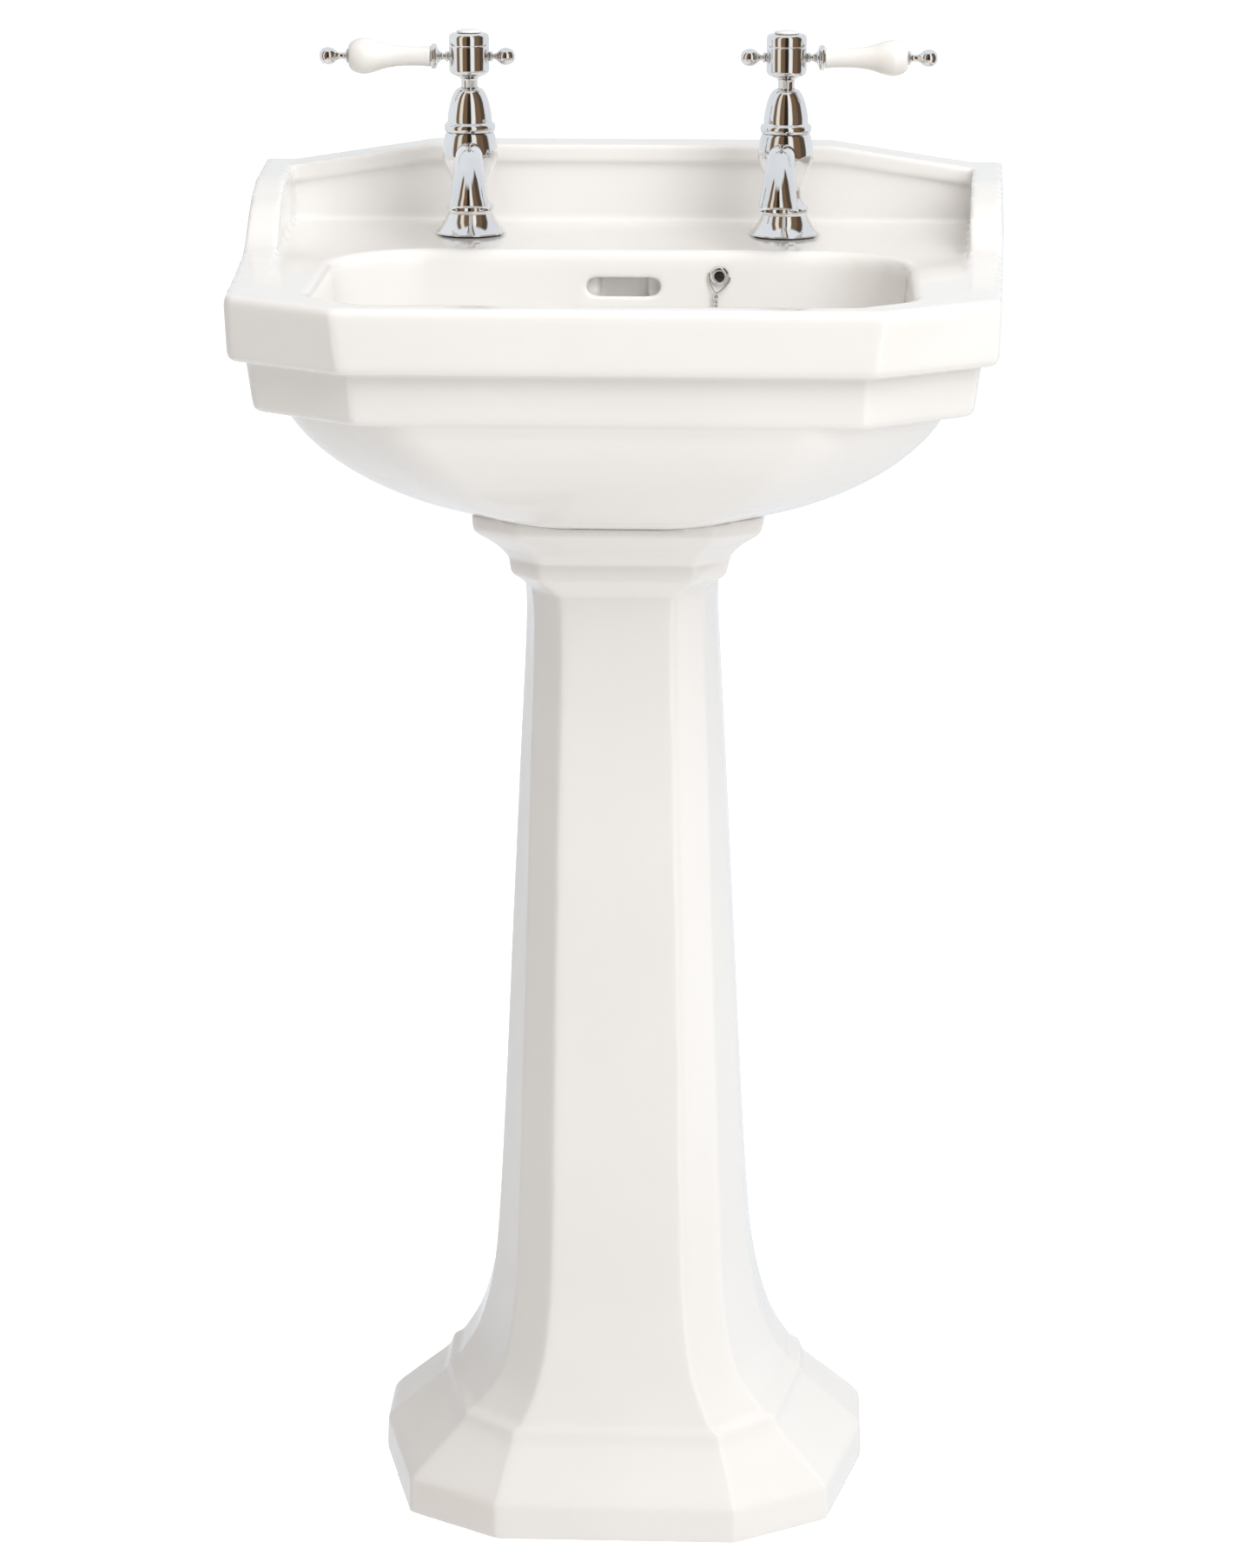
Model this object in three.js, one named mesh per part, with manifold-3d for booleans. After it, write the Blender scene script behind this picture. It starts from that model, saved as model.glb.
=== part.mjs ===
// Pedestal sink with two pillar taps, plug and chain, waste and bottle trap.
// Millimetres, +Z up, +X to the right, +Y towards the wall. The origin is on the floor,
// under the middle of the object's plan.
import * as THREE from 'three';
import { mergeVertices } from 'three/addons/utils/BufferGeometryUtils.js';
import Module from 'manifold-3d';

const wasm = await Module();
wasm.setup();

// ---------------------------------------------------------------- driving dimensions
const GAP = 0.3;                 // clearance between pieces that touch
const DEPTH = 416;               // wall face to front of rim
const FRONT = -DEPTH / 2;
const WALL = DEPTH / 2;

const RIM_Z = 873;               // deck and rim height above the floor
const BAND_Z = 831;              // underside of the upper band of the skirt
const SKIRT_Z = 797;             // underside of the lower band of the skirt
const UPSTAND_Z = 926;           // top of the upstand at its middle
const SHOULDER_Z = 911;          // top of the upstand at its ends and of the side wings
const PANEL_Y = 171;             // front face of the upstand panel
const WING_X = 227;              // inner face of the side wings at the middle of the rim's depth
const SIDE_FLARE = 3 * Math.PI / 180;     // how much the sides of the basin open backwards
const EDGE = 268;                // clear of the rim on each side
const WING_FRONT = 106;          // where the top of a wing ends
const DECK_THICK = 14;

const WASTE = { x: 0, y: -20 };  // axis of the waste
const BOWL_FLOOR = 716;          // inside of the bowl at the waste
const BOWL_BASE = 702;           // underside of the bowl
const PAD_Z = 698;               // flat pad around the waste hole
const WASTE_HOLE_R = 22.5;

const TAP_X = 107;               // half the spacing of the two taps
const TAP_Y = 105;
const TAP_HOLE_R = 14.5;
const SPOUT_TURN = 3.5 * Math.PI / 180;   // how far each spout points in towards the bowl
const TAIL_R = 10.4;
const LEVER_H = 120;             // lever axis above the deck
const SPINDLE_R = 3.2;

const STAY = { x: 64, z: 857 };  // chain stay on the back wall of the bowl
const STAY_WALL_Y = 31.6;
const CHAIN_R = 1.6;
const LINK_LEAN = 0.2;           // the chain pulls the link sideways, radians

const PED_WALL = 13;             // thickness of the pedestal's walls
const PED_BACK = 90;             // back edge of the pedestal's foot

// ---------------------------------------------------------------- materials
const finish = (color, roughness, metalness) =>
  new THREE.MeshStandardMaterial({ color, roughness, metalness });
const china = finish(0xf1eee8, 0.12, 0);
const porcelain = finish(0xf7f5f1, 0.1, 0);
const chrome = finish(0xd9dcde, 0.08, 1);
const brass = finish(0xb08d4c, 0.35, 1);
const rubber = finish(0x1d1d1e, 0.8, 0);
const blackPlastic = finish(0x17171a, 0.35, 0);
const whitePlastic = finish(0xe6e6e2, 0.45, 0);

// ---------------------------------------------------------------- geometry helpers

// A closed surface: shared vertices merged, flat slivers dropped, faces pointing out.
function closed(geometry) {
  const bare = geometry.index ? geometry.toNonIndexed() : geometry.clone();
  bare.deleteAttribute('normal');
  bare.deleteAttribute('uv');
  const merged = mergeVertices(bare, 1e-4);
  const place = merged.getAttribute('position');
  const order = merged.getIndex().array;
  const kept = [];
  let volume = 0;
  const [a, b, c] = [new THREE.Vector3(), new THREE.Vector3(), new THREE.Vector3()];
  for (let i = 0; i < order.length; i += 3) {
    const [p, q, r] = [order[i], order[i + 1], order[i + 2]];
    if (p === q || q === r || r === p) continue;
    kept.push([p, q, r]);
    a.fromBufferAttribute(place, p);
    b.fromBufferAttribute(place, q);
    c.fromBufferAttribute(place, r);
    volume += a.dot(b.cross(c));
  }
  merged.setIndex(kept.flatMap(([p, q, r]) => (volume < 0 ? [p, r, q] : [p, q, r])));
  return merged;
}

function solid(geometry) {
  const shape = closed(geometry);
  const vertProperties = new Float32Array(shape.getAttribute('position').array);
  const triVerts = new Uint32Array(shape.getIndex().array);
  return new wasm.Manifold(new wasm.Mesh({ numProp: 3, vertProperties, triVerts }));
}

function surface(manifold) {
  const mesh = manifold.getMesh();
  const geometry = new THREE.BufferGeometry();
  const places = new Float32Array(mesh.vertProperties);
  geometry.setAttribute('position', new THREE.BufferAttribute(places, 3));
  geometry.setIndex(new THREE.BufferAttribute(new Uint32Array(mesh.triVerts), 1));
  return geometry;
}

const join = (...shapes) => shapes.map(solid).reduce((sum, shape) => sum.add(shape));
const cut = (body, ...tools) => tools.map(solid).reduce((rest, tool) => rest.subtract(tool), body);

// A lathe shape about +Z from [radius, height] pairs.
function turned(profile, sides = 16) {
  const points = profile.map(([radius, height]) => new THREE.Vector2(radius, height));
  return new THREE.LatheGeometry(points, sides).rotateX(Math.PI / 2);
}

// A ring of rectangular section, as a closed lathe profile.
function washer(inner, outer, low, high, sides = 16) {
  return turned([[inner, low], [outer, low], [outer, high], [inner, high], [inner, low]], sides);
}

function rod(radius, low, high, sides = 16) {
  return turned([[0, low], [radius, low], [radius, high], [0, high]], sides);
}

// A hexagonal nut from low to high, given its width across flats. Its hole is a polygon
// drawn around the circle of that radius.
function nut(flats, hole, low, high) {
  const outline = new THREE.Shape();
  const reach = flats / Math.sqrt(3);
  for (let i = 0; i < 6; i += 1) {
    const turn = (i + 0.5) * Math.PI / 3;
    const [x, y] = [reach * Math.cos(turn), reach * Math.sin(turn)];
    if (i === 0) outline.moveTo(x, y);
    else outline.lineTo(x, y);
  }
  outline.closePath();
  const bore = new THREE.Path();
  bore.absarc(0, 0, hole / Math.cos(Math.PI / 16), 0, 2 * Math.PI, true);
  outline.holes.push(bore);
  const settings = { depth: high - low, bevelEnabled: false, curveSegments: 8 };
  return new THREE.ExtrudeGeometry(outline, settings).translate(0, 0, low);
}

function box(x0, x1, y0, y1, z0, z1) {
  const shape = new THREE.BoxGeometry(x1 - x0, y1 - y0, z1 - z0);
  return shape.translate((x0 + x1) / 2, (y0 + y1) / 2, (z0 + z1) / 2);
}

// A flat outline in Y and Z, given thickness along X from x0 to x1.
function slab(outline, x0, x1) {
  const shape = new THREE.Shape(outline.map(([y, z]) => new THREE.Vector2(y, z)));
  const body = new THREE.ExtrudeGeometry(shape, { depth: x1 - x0, bevelEnabled: false });
  return body.rotateY(Math.PI / 2).rotateX(Math.PI / 2).translate(x0, 0, 0);
}

// Moves every side of a convex outline of [x, y, radius] corners inwards by the inset.
function inset(corners, amount) {
  const count = corners.length;
  const lines = corners.map(([x, y], i) => {
    const [nextX, nextY] = corners[(i + 1) % count];
    const length = Math.hypot(nextX - x, nextY - y);
    const [nx, ny] = [(nextY - y) / length, (x - nextX) / length];
    return { nx, ny, d: nx * x + ny * y - amount };
  });
  return corners.map(([, , radius], i) => {
    const [p, q] = [lines[(i + count - 1) % count], lines[i]];
    const cross = p.nx * q.ny - p.ny * q.nx;
    const x = (p.d * q.ny - q.d * p.ny) / cross;
    const y = (p.nx * q.d - q.nx * p.d) / cross;
    return [x, y, Math.max(radius - amount, 0.5)];
  });
}

// The same outline made smaller or larger about a centre.
function scaled(corners, factor, centre) {
  return corners.map(([x, y, radius]) => [
    centre.x + (x - centre.x) * factor, centre.y + (y - centre.y) * factor, radius * factor]);
}

// The points of a convex outline whose corners, counter-clockwise, are rounded.
function outline(corners, steps, z) {
  const count = corners.length;
  const points = [];
  corners.forEach(([x, y, radius], i) => {
    const here = new THREE.Vector2(x, y);
    const [beforeX, beforeY] = corners[(i + count - 1) % count];
    const [afterX, afterY] = corners[(i + 1) % count];
    const back = new THREE.Vector2(beforeX, beforeY).sub(here);
    const on = new THREE.Vector2(afterX, afterY).sub(here);
    const half = Math.acos(back.dot(on) / back.length() / on.length()) / 2;
    const reach = Math.min(radius / Math.tan(half), 0.49 * Math.min(back.length(), on.length()));
    const real = reach * Math.tan(half);
    const middle = back.clone().normalize().add(on.clone().normalize()).normalize();
    const centre = here.clone().addScaledVector(middle, real / Math.sin(half));
    const start = here.clone().addScaledVector(back.normalize(), reach).sub(centre);
    const turn = Math.PI - 2 * half;
    for (let k = 0; k <= steps; k += 1) {
      const spoke = start.clone().rotateAround(new THREE.Vector2(), turn * k / steps).add(centre);
      points.push(new THREE.Vector3(spoke.x, spoke.y, z));
    }
  });
  return points;
}

// A closed body through rings that all have the same number of points.
function loft(rings) {
  const size = rings[0].length;
  const middle = (ring) => ring.reduce((sum, p) => sum.add(p), new THREE.Vector3()).divideScalar(size);
  const last = rings.length - 1;
  const points = [...rings.flat(), middle(rings[0]), middle(rings[last])];
  const faces = [];
  for (let j = 0; j < size; j += 1) {
    const k = (j + 1) % size;
    for (let i = 0; i < last; i += 1) {
      const [a, b, c, d] = [i * size + j, i * size + k, (i + 1) * size + k, (i + 1) * size + j];
      faces.push(a, b, c, a, c, d);
    }
    faces.push(rings.length * size, k, j);
    faces.push(rings.length * size + 1, last * size + j, last * size + k);
  }
  const geometry = new THREE.BufferGeometry().setFromPoints(points);
  geometry.setIndex(faces);
  return geometry;
}

// A round bar of changing radius whose middle follows points [y, z, radius] in the plane X = 0.
function bentBar(stations, sides) {
  const rings = stations.map(([y, z, radius], i) => {
    const before = stations[Math.max(i - 1, 0)];
    const after = stations[Math.min(i + 1, stations.length - 1)];
    const along = new THREE.Vector2(after[0] - before[0], after[1] - before[1]).normalize();
    const ring = [];
    for (let k = 0; k < sides; k += 1) {
      const turn = 2 * Math.PI * k / sides;
      const out = radius * Math.sin(turn);
      ring.push(new THREE.Vector3(radius * Math.cos(turn), y - along.y * out, z + along.x * out));
    }
    return ring;
  });
  return loft(rings);
}

// A round wire or tube of the given radius along a smooth curve through points.
function wire(points, radius, sides, steps) {
  const section = new THREE.Shape();
  section.setFromPoints(Array.from({ length: sides }, (_, k) => {
    const turn = 2 * Math.PI * k / sides;
    return new THREE.Vector2(radius * Math.cos(turn), radius * Math.sin(turn));
  }));
  const path = new THREE.CatmullRomCurve3(points.map((point) => new THREE.Vector3(...point)));
  return new THREE.ExtrudeGeometry(section, { steps, extrudePath: path, bevelEnabled: false });
}

const sink = new THREE.Group();

function add(name, material, geometry, x = 0, y = 0, z = 0) {
  const mesh = new THREE.Mesh(closed(geometry.isBufferGeometry ? geometry : surface(geometry)), material);
  mesh.name = name;
  mesh.position.set(x, y, z);
  sink.add(mesh);
}

// ---------------------------------------------------------------- basin

// Six-cornered plan: straight front, chamfered front corners, sides that open slightly backwards.
function plan(frontHalf, front, sideHalf, side, backHalf, back, radius) {
  return [[-frontHalf, front, radius], [frontHalf, front, radius], [sideHalf, side, radius],
    [backHalf, back, 3], [-backHalf, back, 3], [-sideHalf, side, radius]];
}
const rimTop = plan(170, FRONT, 242, -160, 261.5, WALL, 12);
const rimBottom = plan(166, FRONT + 1.5, 241, -158, 260.5, WALL, 12);
const skirtTop = plan(161, FRONT + 14, 230.5, -148, 249, WALL, 12);
const skirtBottom = plan(159.5, FRONT + 15.5, 227, -146, 246, WALL, 12);

const opening = [[-150, -185, 20], [150, -185, 20], [188, -158, 30], [188, 33, 62], [-188, 33, 62],
  [-188, -158, 30]];
const belly = [[-140, -187, 60], [140, -187, 60], [220, -135, 70], [220, 62, 100], [-220, 62, 100],
  [-220, -135, 70]];
const BELLY_CENTRE = { x: 0, y: -45 };

// Height of a rounded bowl section at the fraction s of its full width.
const swell = (s, low, high, fullness, squareness) =>
  low + (high - low) * (1 - (1 - s ** fullness) ** (1 / squareness));

function skirtBands() {
  const upper = [[inset(rimTop, 6), RIM_Z], [inset(rimTop, 3), RIM_Z - 0.5], [inset(rimTop, 1), RIM_Z - 2],
    [rimTop, RIM_Z - 5], [rimBottom, BAND_Z + 4], [inset(rimBottom, 1.2), BAND_Z + 1.2],
    [inset(rimBottom, 4), BAND_Z]];
  const lower = [[inset(skirtTop, 0), BAND_Z + 6], [skirtTop, BAND_Z - 1], [skirtBottom, SKIRT_Z + 4],
    [inset(skirtBottom, 1.2), SKIRT_Z + 1.2], [inset(skirtBottom, 4), SKIRT_Z]];
  const body = (levels) => loft(levels.reverse().map(([corners, z]) => outline(corners, 2, z)));
  return [body(upper), body(lower)];
}

// The round underside of the bowl, lowered by the given drop.
function bellyBody(drop = 0) {
  const rings = [0.15, 0.35, 0.52, 0.66, 0.78, 0.87, 0.94, 0.985].map((s) =>
    outline(scaled(belly, s, BELLY_CENTRE), 4, swell(s, BOWL_BASE, 802, 2.6, 1.6) - drop));
  rings.push(outline(belly, 4, 806));
  return loft(rings);
}

// The inside of the bowl, with a rounded lip at the deck.
function bowlHollow() {
  const rings = [0.18, 0.4, 0.56, 0.69, 0.79, 0.87, 0.93, 0.975].map((s) =>
    outline(scaled(opening, s, WASTE), 4, swell(s, BOWL_FLOOR, RIM_Z + 6, 3, 2.4)));
  const lip = [[1.5, 9], [0, 3.6], [-1.6, 1.2], [-5, -0.05], [-5.2, -6]];
  lip.forEach(([amount, below]) => rings.push(outline(inset(opening, amount), 4, RIM_Z - below)));
  return loft(rings);
}

// Upstand panel, its thicker top rail and the two side wings, before their outer faces are trimmed.
function upstand() {
  const crest = (drop) => [[-EDGE, 860], [EDGE, 860], [EDGE, SHOULDER_Z - drop], [236, SHOULDER_Z - drop],
    [138, UPSTAND_Z - drop], [-138, UPSTAND_Z - drop], [-236, SHOULDER_Z - drop],
    [-EDGE, SHOULDER_Z - drop]];
  const board = (points, front) => {
    const shape = new THREE.Shape(points.map(([x, z]) => new THREE.Vector2(x, z)));
    const body = new THREE.ExtrudeGeometry(shape, { depth: WALL - front, bevelEnabled: false });
    return body.rotateX(Math.PI / 2).translate(0, WALL, 0);
  };
  const rail = cut(join(board(crest(0), PANEL_Y - 4)), board(crest(12), PANEL_Y - 5));
  const panel = join(board(crest(2), PANEL_Y));
  const side = [[WALL, SHOULDER_Z], [WING_FRONT + 15, SHOULDER_Z], [WING_FRONT, SHOULDER_Z - 1.4],
    [WING_FRONT - 22, SHOULDER_Z - 5.5], [WING_FRONT - 46, SHOULDER_Z - 11.5],
    [WING_FRONT - 61, RIM_Z + 18], [WING_FRONT - 73, RIM_Z + 10.5], [WING_FRONT - 86, RIM_Z + 5],
    [WING_FRONT - 106, RIM_Z + 2.4], [-40, RIM_Z + 0.8], [-140, RIM_Z - 1], [-140, RIM_Z - 8],
    [WALL, RIM_Z - 8]];
  const wing = (direction) => {
    const body = direction > 0 ? slab(side, WING_X, EDGE + 20) : slab(side, -EDGE - 20, -WING_X);
    return body.rotateZ(-direction * SIDE_FLARE);
  };
  const wings = join(wing(-1), wing(1));
  return rail.add(panel).add(wings);
}

// Overflow: a duct moulded down the back of the bowl, from the slot to the side of the waste hole.
const CHUTE = [[30, 860], [57, 860], [57, 762], [47, 736], [30, 705], [14, PAD_Z], [-10, PAD_Z], [-10, 714],
  [10, 722], [25, 770]];
const DUCT = [[38, 856], [49, 856], [49, 765], [40, 741], [25, 713], [12, 704], [-4, 704], [-4, 709.5],
  [10, 711], [22, 735], [33, 765], [38, 800]];
const SLOT = { half: 24.7, low: 842.5, high: 855 };

function overflowSlot() {
  const radius = (SLOT.high - SLOT.low) / 2;
  const shape = new THREE.Shape();
  shape.absarc(SLOT.half - radius, 0, radius, -Math.PI / 2, Math.PI / 2);
  shape.absarc(-SLOT.half + radius, 0, radius, Math.PI / 2, Math.PI * 1.5);
  const body = new THREE.ExtrudeGeometry(shape, { depth: 24, bevelEnabled: false, curveSegments: 6 });
  return body.rotateX(Math.PI / 2).translate(0, 44, SLOT.low + radius);
}

function makeBasin() {
  const trim = (top) => loft([outline(rimTop, 2, 840), outline(inset(rimTop, 0.5), 2, RIM_Z),
    outline(inset(rimTop, 3.5), 2, top)]);
  const raised = upstand().intersect(solid(trim(UPSTAND_Z + 4)));
  const backPlate = box(-160, 160, WALL - 14, WALL, 742, 850);
  const pad = rod(34, PAD_Z, 710).translate(WASTE.x, WASTE.y, 0);
  const mass = join(...skirtBands(), bellyBody(), backPlate, pad, slab(CHUTE, -24, 24)).add(raised);
  const tools = [
    bowlHollow(),
    box(-214, 214, 57, WALL - 14, 700, RIM_Z - DECK_THICK),
    slab(DUCT, -16, 16),
    overflowSlot(),
    rod(WASTE_HOLE_R, 690, 730).translate(WASTE.x, WASTE.y, 0),
    rod(33, BOWL_FLOOR - 4, 740, 32).translate(WASTE.x, WASTE.y, 0),
    rod(3, -6, 60, 12).rotateX(-Math.PI / 2).translate(STAY.x, 15, STAY.z),
    box(STAY.x - 8, STAY.x + 8, 57, 72, STAY.z - 8, STAY.z + 7),
  ];
  for (const side of [-1, 1]) {
    tools.push(rod(TAP_HOLE_R, 850, 880).translate(side * TAP_X, TAP_Y, 0));
    tools.push(rod(7, -30, 30, 16).rotateX(Math.PI / 2).translate(side * 120, WALL, 790));
  }
  add('basin', china, surface(cut(mass, ...tools)));
}

// ---------------------------------------------------------------- pedestal

// One level of the pedestal: half widths of the front facet, of its chamfers and of the sides,
// with where each of them stands in depth.
function pedestalPlan([z, front, facet, chamfer, chamferY, side, sideY, back]) {
  return { z, corners: [[-facet, front, 5], [facet, front, 5], [chamfer, chamferY, 5], [side, sideY, 8],
    [side, back, 3], [-side, back, 3], [-side, sideY, 8], [-chamfer, chamferY, 5]] };
}
const PEDESTAL = [
  [0, -107, 82, 144, -69, 170, 34, PED_BACK],
  [25, -107, 82, 143, -69, 169, 34, PED_BACK],
  [30, -104, 80.5, 139, -67, 165, 35, PED_BACK],
  [58, -88, 73.5, 114, -55, 133, 38, 86],
  [62, -86, 73, 111, -53, 129, 38, 85],
  [70, -84.5, 71.5, 107.5, -52, 126, 38, 85],
  [74, -82, 66, 100, -50, 119, 36, 84],
  [96, -78, 57, 84, -47, 106, 30, 82],
  [120, -75, 51, 77, -45, 98, 24, 80],
  [155, -72, 47, 72, -44, 91, 17, 78],
  [205, -70.5, 45, 69.5, -43, 86.5, 12, 76],
  [410, -67, 41.5, 63, -41, 75.5, 5, 74],
  [640, -64, 37, 56.5, -40, 64, 0, 72],
  [652, -64.5, 38, 58, -41, 65, 0, 72],
  [660, -69, 46, 66, -46, 70, 0, 73],
  [664, -71, 51, 71, -49, 73.5, 0, 74],
  [671, -72, 52, 72, -50, 74.5, 0, 74],
  [674, -71, 51, 72, -50, 76, 0, 75],
  [684, -77, 54, 78, -58, 82, 0, 78],
  [692, -86, 60, 86, -68, 91, 0, 80],
  [695, -89, 62, 90, -72, 95, 0, 81],
  [699, -92, 64, 94, -75, 98, 0, 82],
  [712, -93, 64, 95, -76, 99, 0, 82],
].map(pedestalPlan);

const INNER_LEVELS = [0, 25, 96, 155, 410, 652, 674, 699];

function makePedestal() {
  const outer = loft(PEDESTAL.map(({ z, corners }) => outline(corners, 1, z)));
  const hollowCorners = ({ corners }) => inset(corners, PED_WALL).map(([x, y, radius], i) =>
    (i === 4 || i === 5 ? [x, PED_BACK + 20, radius] : [x, y, radius]));
  const inner = PEDESTAL.filter(({ z }) => INNER_LEVELS.includes(z));
  const levels = inner.map((level) => outline(hollowCorners(level), 1, level.z));
  levels.unshift(outline(hollowCorners(inner[0]), 1, -5));
  levels.push(outline(hollowCorners(inner.at(-1)), 1, 730));
  const lugs = join(box(-165, -108, 20, 60, 0, 16), box(108, 165, 20, 60, 0, 16));
  const bridge = box(-78, 78, 56, 68, 420, 455);
  const shell = cut(join(outer), loft(levels));
  const held = solid(bridge).intersect(solid(outer));
  const body = shell.add(held).add(lugs.intersect(solid(outer)));
  const holes = [-1, 1].map((side) => rod(4, -5, 30, 12).translate(side * 122, 42, 0));
  add('pedestal', china, surface(cut(body, bellyBody(0.5), ...holes)));
}

// ---------------------------------------------------------------- pillar tap

// Lever side: -1 points to the left (hot), +1 to the right (cold).
function makeTap(name, side) {
  const put = (node, material, geometry) =>
    add(`${name}_${node}`, material, geometry, side * TAP_X, TAP_Y, RIM_Z);

  const bodyProfile = [[0, -50], [TAIL_R, -50], [TAIL_R, 1.3], [24, 1.3], [24, 2.3], [20.6, 6.2],
    [18, 10], [15.4, 15], [16, 17], [15.8, 19.6], [13.2, 22], [11.2, 28.6], [11.4, 33], [15.2, 43],
    [18.6, 52], [18.7, 59], [16.8, 67], [16.2, 69.2], [0, 69.2]];
  const spout = bentBar([[0, 51, 9], [-12, 53, 9.1], [-24, 55.6, 9.2], [-36, 57.4, 9.2], [-47, 57.4, 9.2],
    [-56, 55, 9.5], [-63, 50.4, 10], [-68.5, 44, 10.9], [-72.6, 37, 12], [-75, 31, 13.2],
    [-76.1, 27.2, 13.7]], 12);
  const bore = bentBar([[0, 51, 4.5], [-36, 57.2, 5], [-47, 57.1, 5.3], [-56, 54.6, 5.9], [-63, 50, 6.8],
    [-68.5, 43.6, 8], [-72.6, 36.6, 9.4], [-75, 30.6, 10.4], [-77, 23, 11.2]], 8);
  for (const bend of [spout, bore]) bend.rotateZ(-side * SPOUT_TURN);
  const waterway = rod(6.4, -55, 58, 10);
  const seat = rod(9.8, 58, 75, 20);
  put('tap_body', chrome, surface(cut(join(turned(bodyProfile), spout), bore, waterway, seat)));
  put('foot_seal', rubber, washer(11, 20.4, GAP, 1));
  put('tap_washer', whitePlastic, washer(11, 20, -DECK_THICK - 3.5, -DECK_THICK - GAP));
  put('back_nut', brass, nut(30, TAIL_R + GAP, -DECK_THICK - 12.5, -DECK_THICK - 4));

  const valve = turned([[3.6, 58.4], [9.4, 58.4], [9.4, 69.6], [11.2, 69.6], [11.2, 76], [7.4, 76], [7.4, 88],
    [3.6, 88], [3.6, 58.4]], 20);
  put('valve', brass, valve);
  const bonnet = turned([[12, 69.6], [16, 69.6], [17.1, 71.4], [17.1, 74], [15.6, 76.4], [14.8, 77.4],
    [14.2, 84], [12.7, 91], [10.2, 97], [6.1, 99.3], [6.1, 97.4], [9, 93], [11.6, 82], [12, 69.6]]);
  put('bonnet', chrome, bonnet);

  put('spindle', brass, turned([[0, 60], [SPINDLE_R, 60], [SPINDLE_R, 117], [0, 117]], 16));
  const hub = turned([[3.5, 95], [5.7, 95], [5.7, 104.4], [7, 106.4], [10.6, 108.2], [13.6, 110.4],
    [13.85, 111.6], [13.85, 126.8], [13.4, 127.3], [13.85, 127.8], [13.6, 132.4], [12, 134.8], [9.6, 135.8],
    [0, 135.8], [0, 117.4], [3.5, 117.4], [3.5, 95]]);
  const sockets = rod(3, -20, 20, 12).rotateY(Math.PI / 2).translate(0, 0, LEVER_H);
  const bottom = rod(5, 100, LEVER_H - 3.2, 12);
  const coreHole = cut(solid(sockets), bottom);
  put('handle_hub', chrome, surface(solid(hub).subtract(coreHole)));
  const disc = turned([[0, 136.1], [8.4, 136.1], [8.4, 136.9], [7.2, 137.9], [0, 138.3]], 20);
  put('index_disc', porcelain, disc);

  // Pieces of the lever lie along the X axis, from [radius, distance from the tap's axis].
  const along = (profile, direction, sides = 12) =>
    turned(profile, sides).rotateY(direction * Math.PI / 2).translate(0, 0, LEVER_H);
  const ferrule = [[0, 6], [2.7, 6], [2.7, 14.2], [3.4, 15.2], [2.2, 16.8], [2.4, 18], [4.2, 20.4],
    [8.1, 22.4], [8.4, 24], [7.6, 25.6], [2.6, 25.6], [2.6, 40], [0, 40]];
  const grip = [[2.9, 26], [7, 26], [6.6, 34], [6.6, 44], [7.2, 52], [9, 60], [11.4, 67],
    [12.1, 71.5], [11.2, 76.5], [8.8, 80.4], [6.4, 81.4], [2.9, 81.4], [2.9, 26]];
  const finial = [[0, 60], [2.6, 60], [2.6, 81.7], [4.8, 81.7], [4.9, 82.9], [2.6, 84], [2.3, 87],
    [3.4, 90.6], [5.2, 93.4], [5.75, 96.2], [4.9, 99.2], [2.6, 100.9], [0, 101.4]];
  const knob = [[0, 6], [2.7, 6], [2.7, 14.2], [3.4, 15.2], [1.9, 16.8], [2.4, 18.4], [4.6, 20.8],
    [5.8, 24.4], [5.2, 27.9], [3, 30.2], [0, 31]];
  put('lever_ferrule', chrome, along(ferrule, side));
  put('lever_grip', porcelain, along(grip, side));
  put('lever_finial', chrome, along(finial, side));
  put('counter_knob', chrome, along(knob, -side));
}

// ---------------------------------------------------------------- waste, plug and trap

function makeWaste() {
  const put = (node, material, geometry) => add(node, material, geometry, WASTE.x, WASTE.y, 0);
  const tube = turned([[16.5, 640], [20.6, 640], [20.6, 713.6], [32, 713.6], [32, 715.2], [27, 716.2],
    [20.6, 715], [18, 708], [16.5, 706], [16.5, 640]], 28);
  const slots = box(-5, 5, -30, 30, 702.5, 709);
  put('waste_body', chrome, surface(cut(solid(tube), slots)));
  put('waste_flange_seal', rubber, washer(21, 31.5, BOWL_FLOOR - 3.7, 713.3, 28));
  put('waste_washer', rubber, washer(21, 31, PAD_Z - 5, PAD_Z - GAP));
  put('waste_back_nut', brass, nut(52, 20.6 + GAP, PAD_Z - 15, PAD_Z - 5.4));

  const stopper = turned([[0, 706.5], [17, 709.5], [19.4, 715.4], [21, 716.8], [21, 718.4], [0, 718.4]]);
  put('plug_stopper', rubber, stopper);
  put('plug_cap', chrome, turned([[0, 718.7], [20, 718.7], [20, 719.6], [12, 721.4], [0, 722]]));
  const eyelet = new THREE.TorusGeometry(3.4, 0.9, 8, 16).rotateX(Math.PI / 2).translate(0, 0, 726.6);
  put('plug_eyelet', chrome, eyelet);
}

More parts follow.
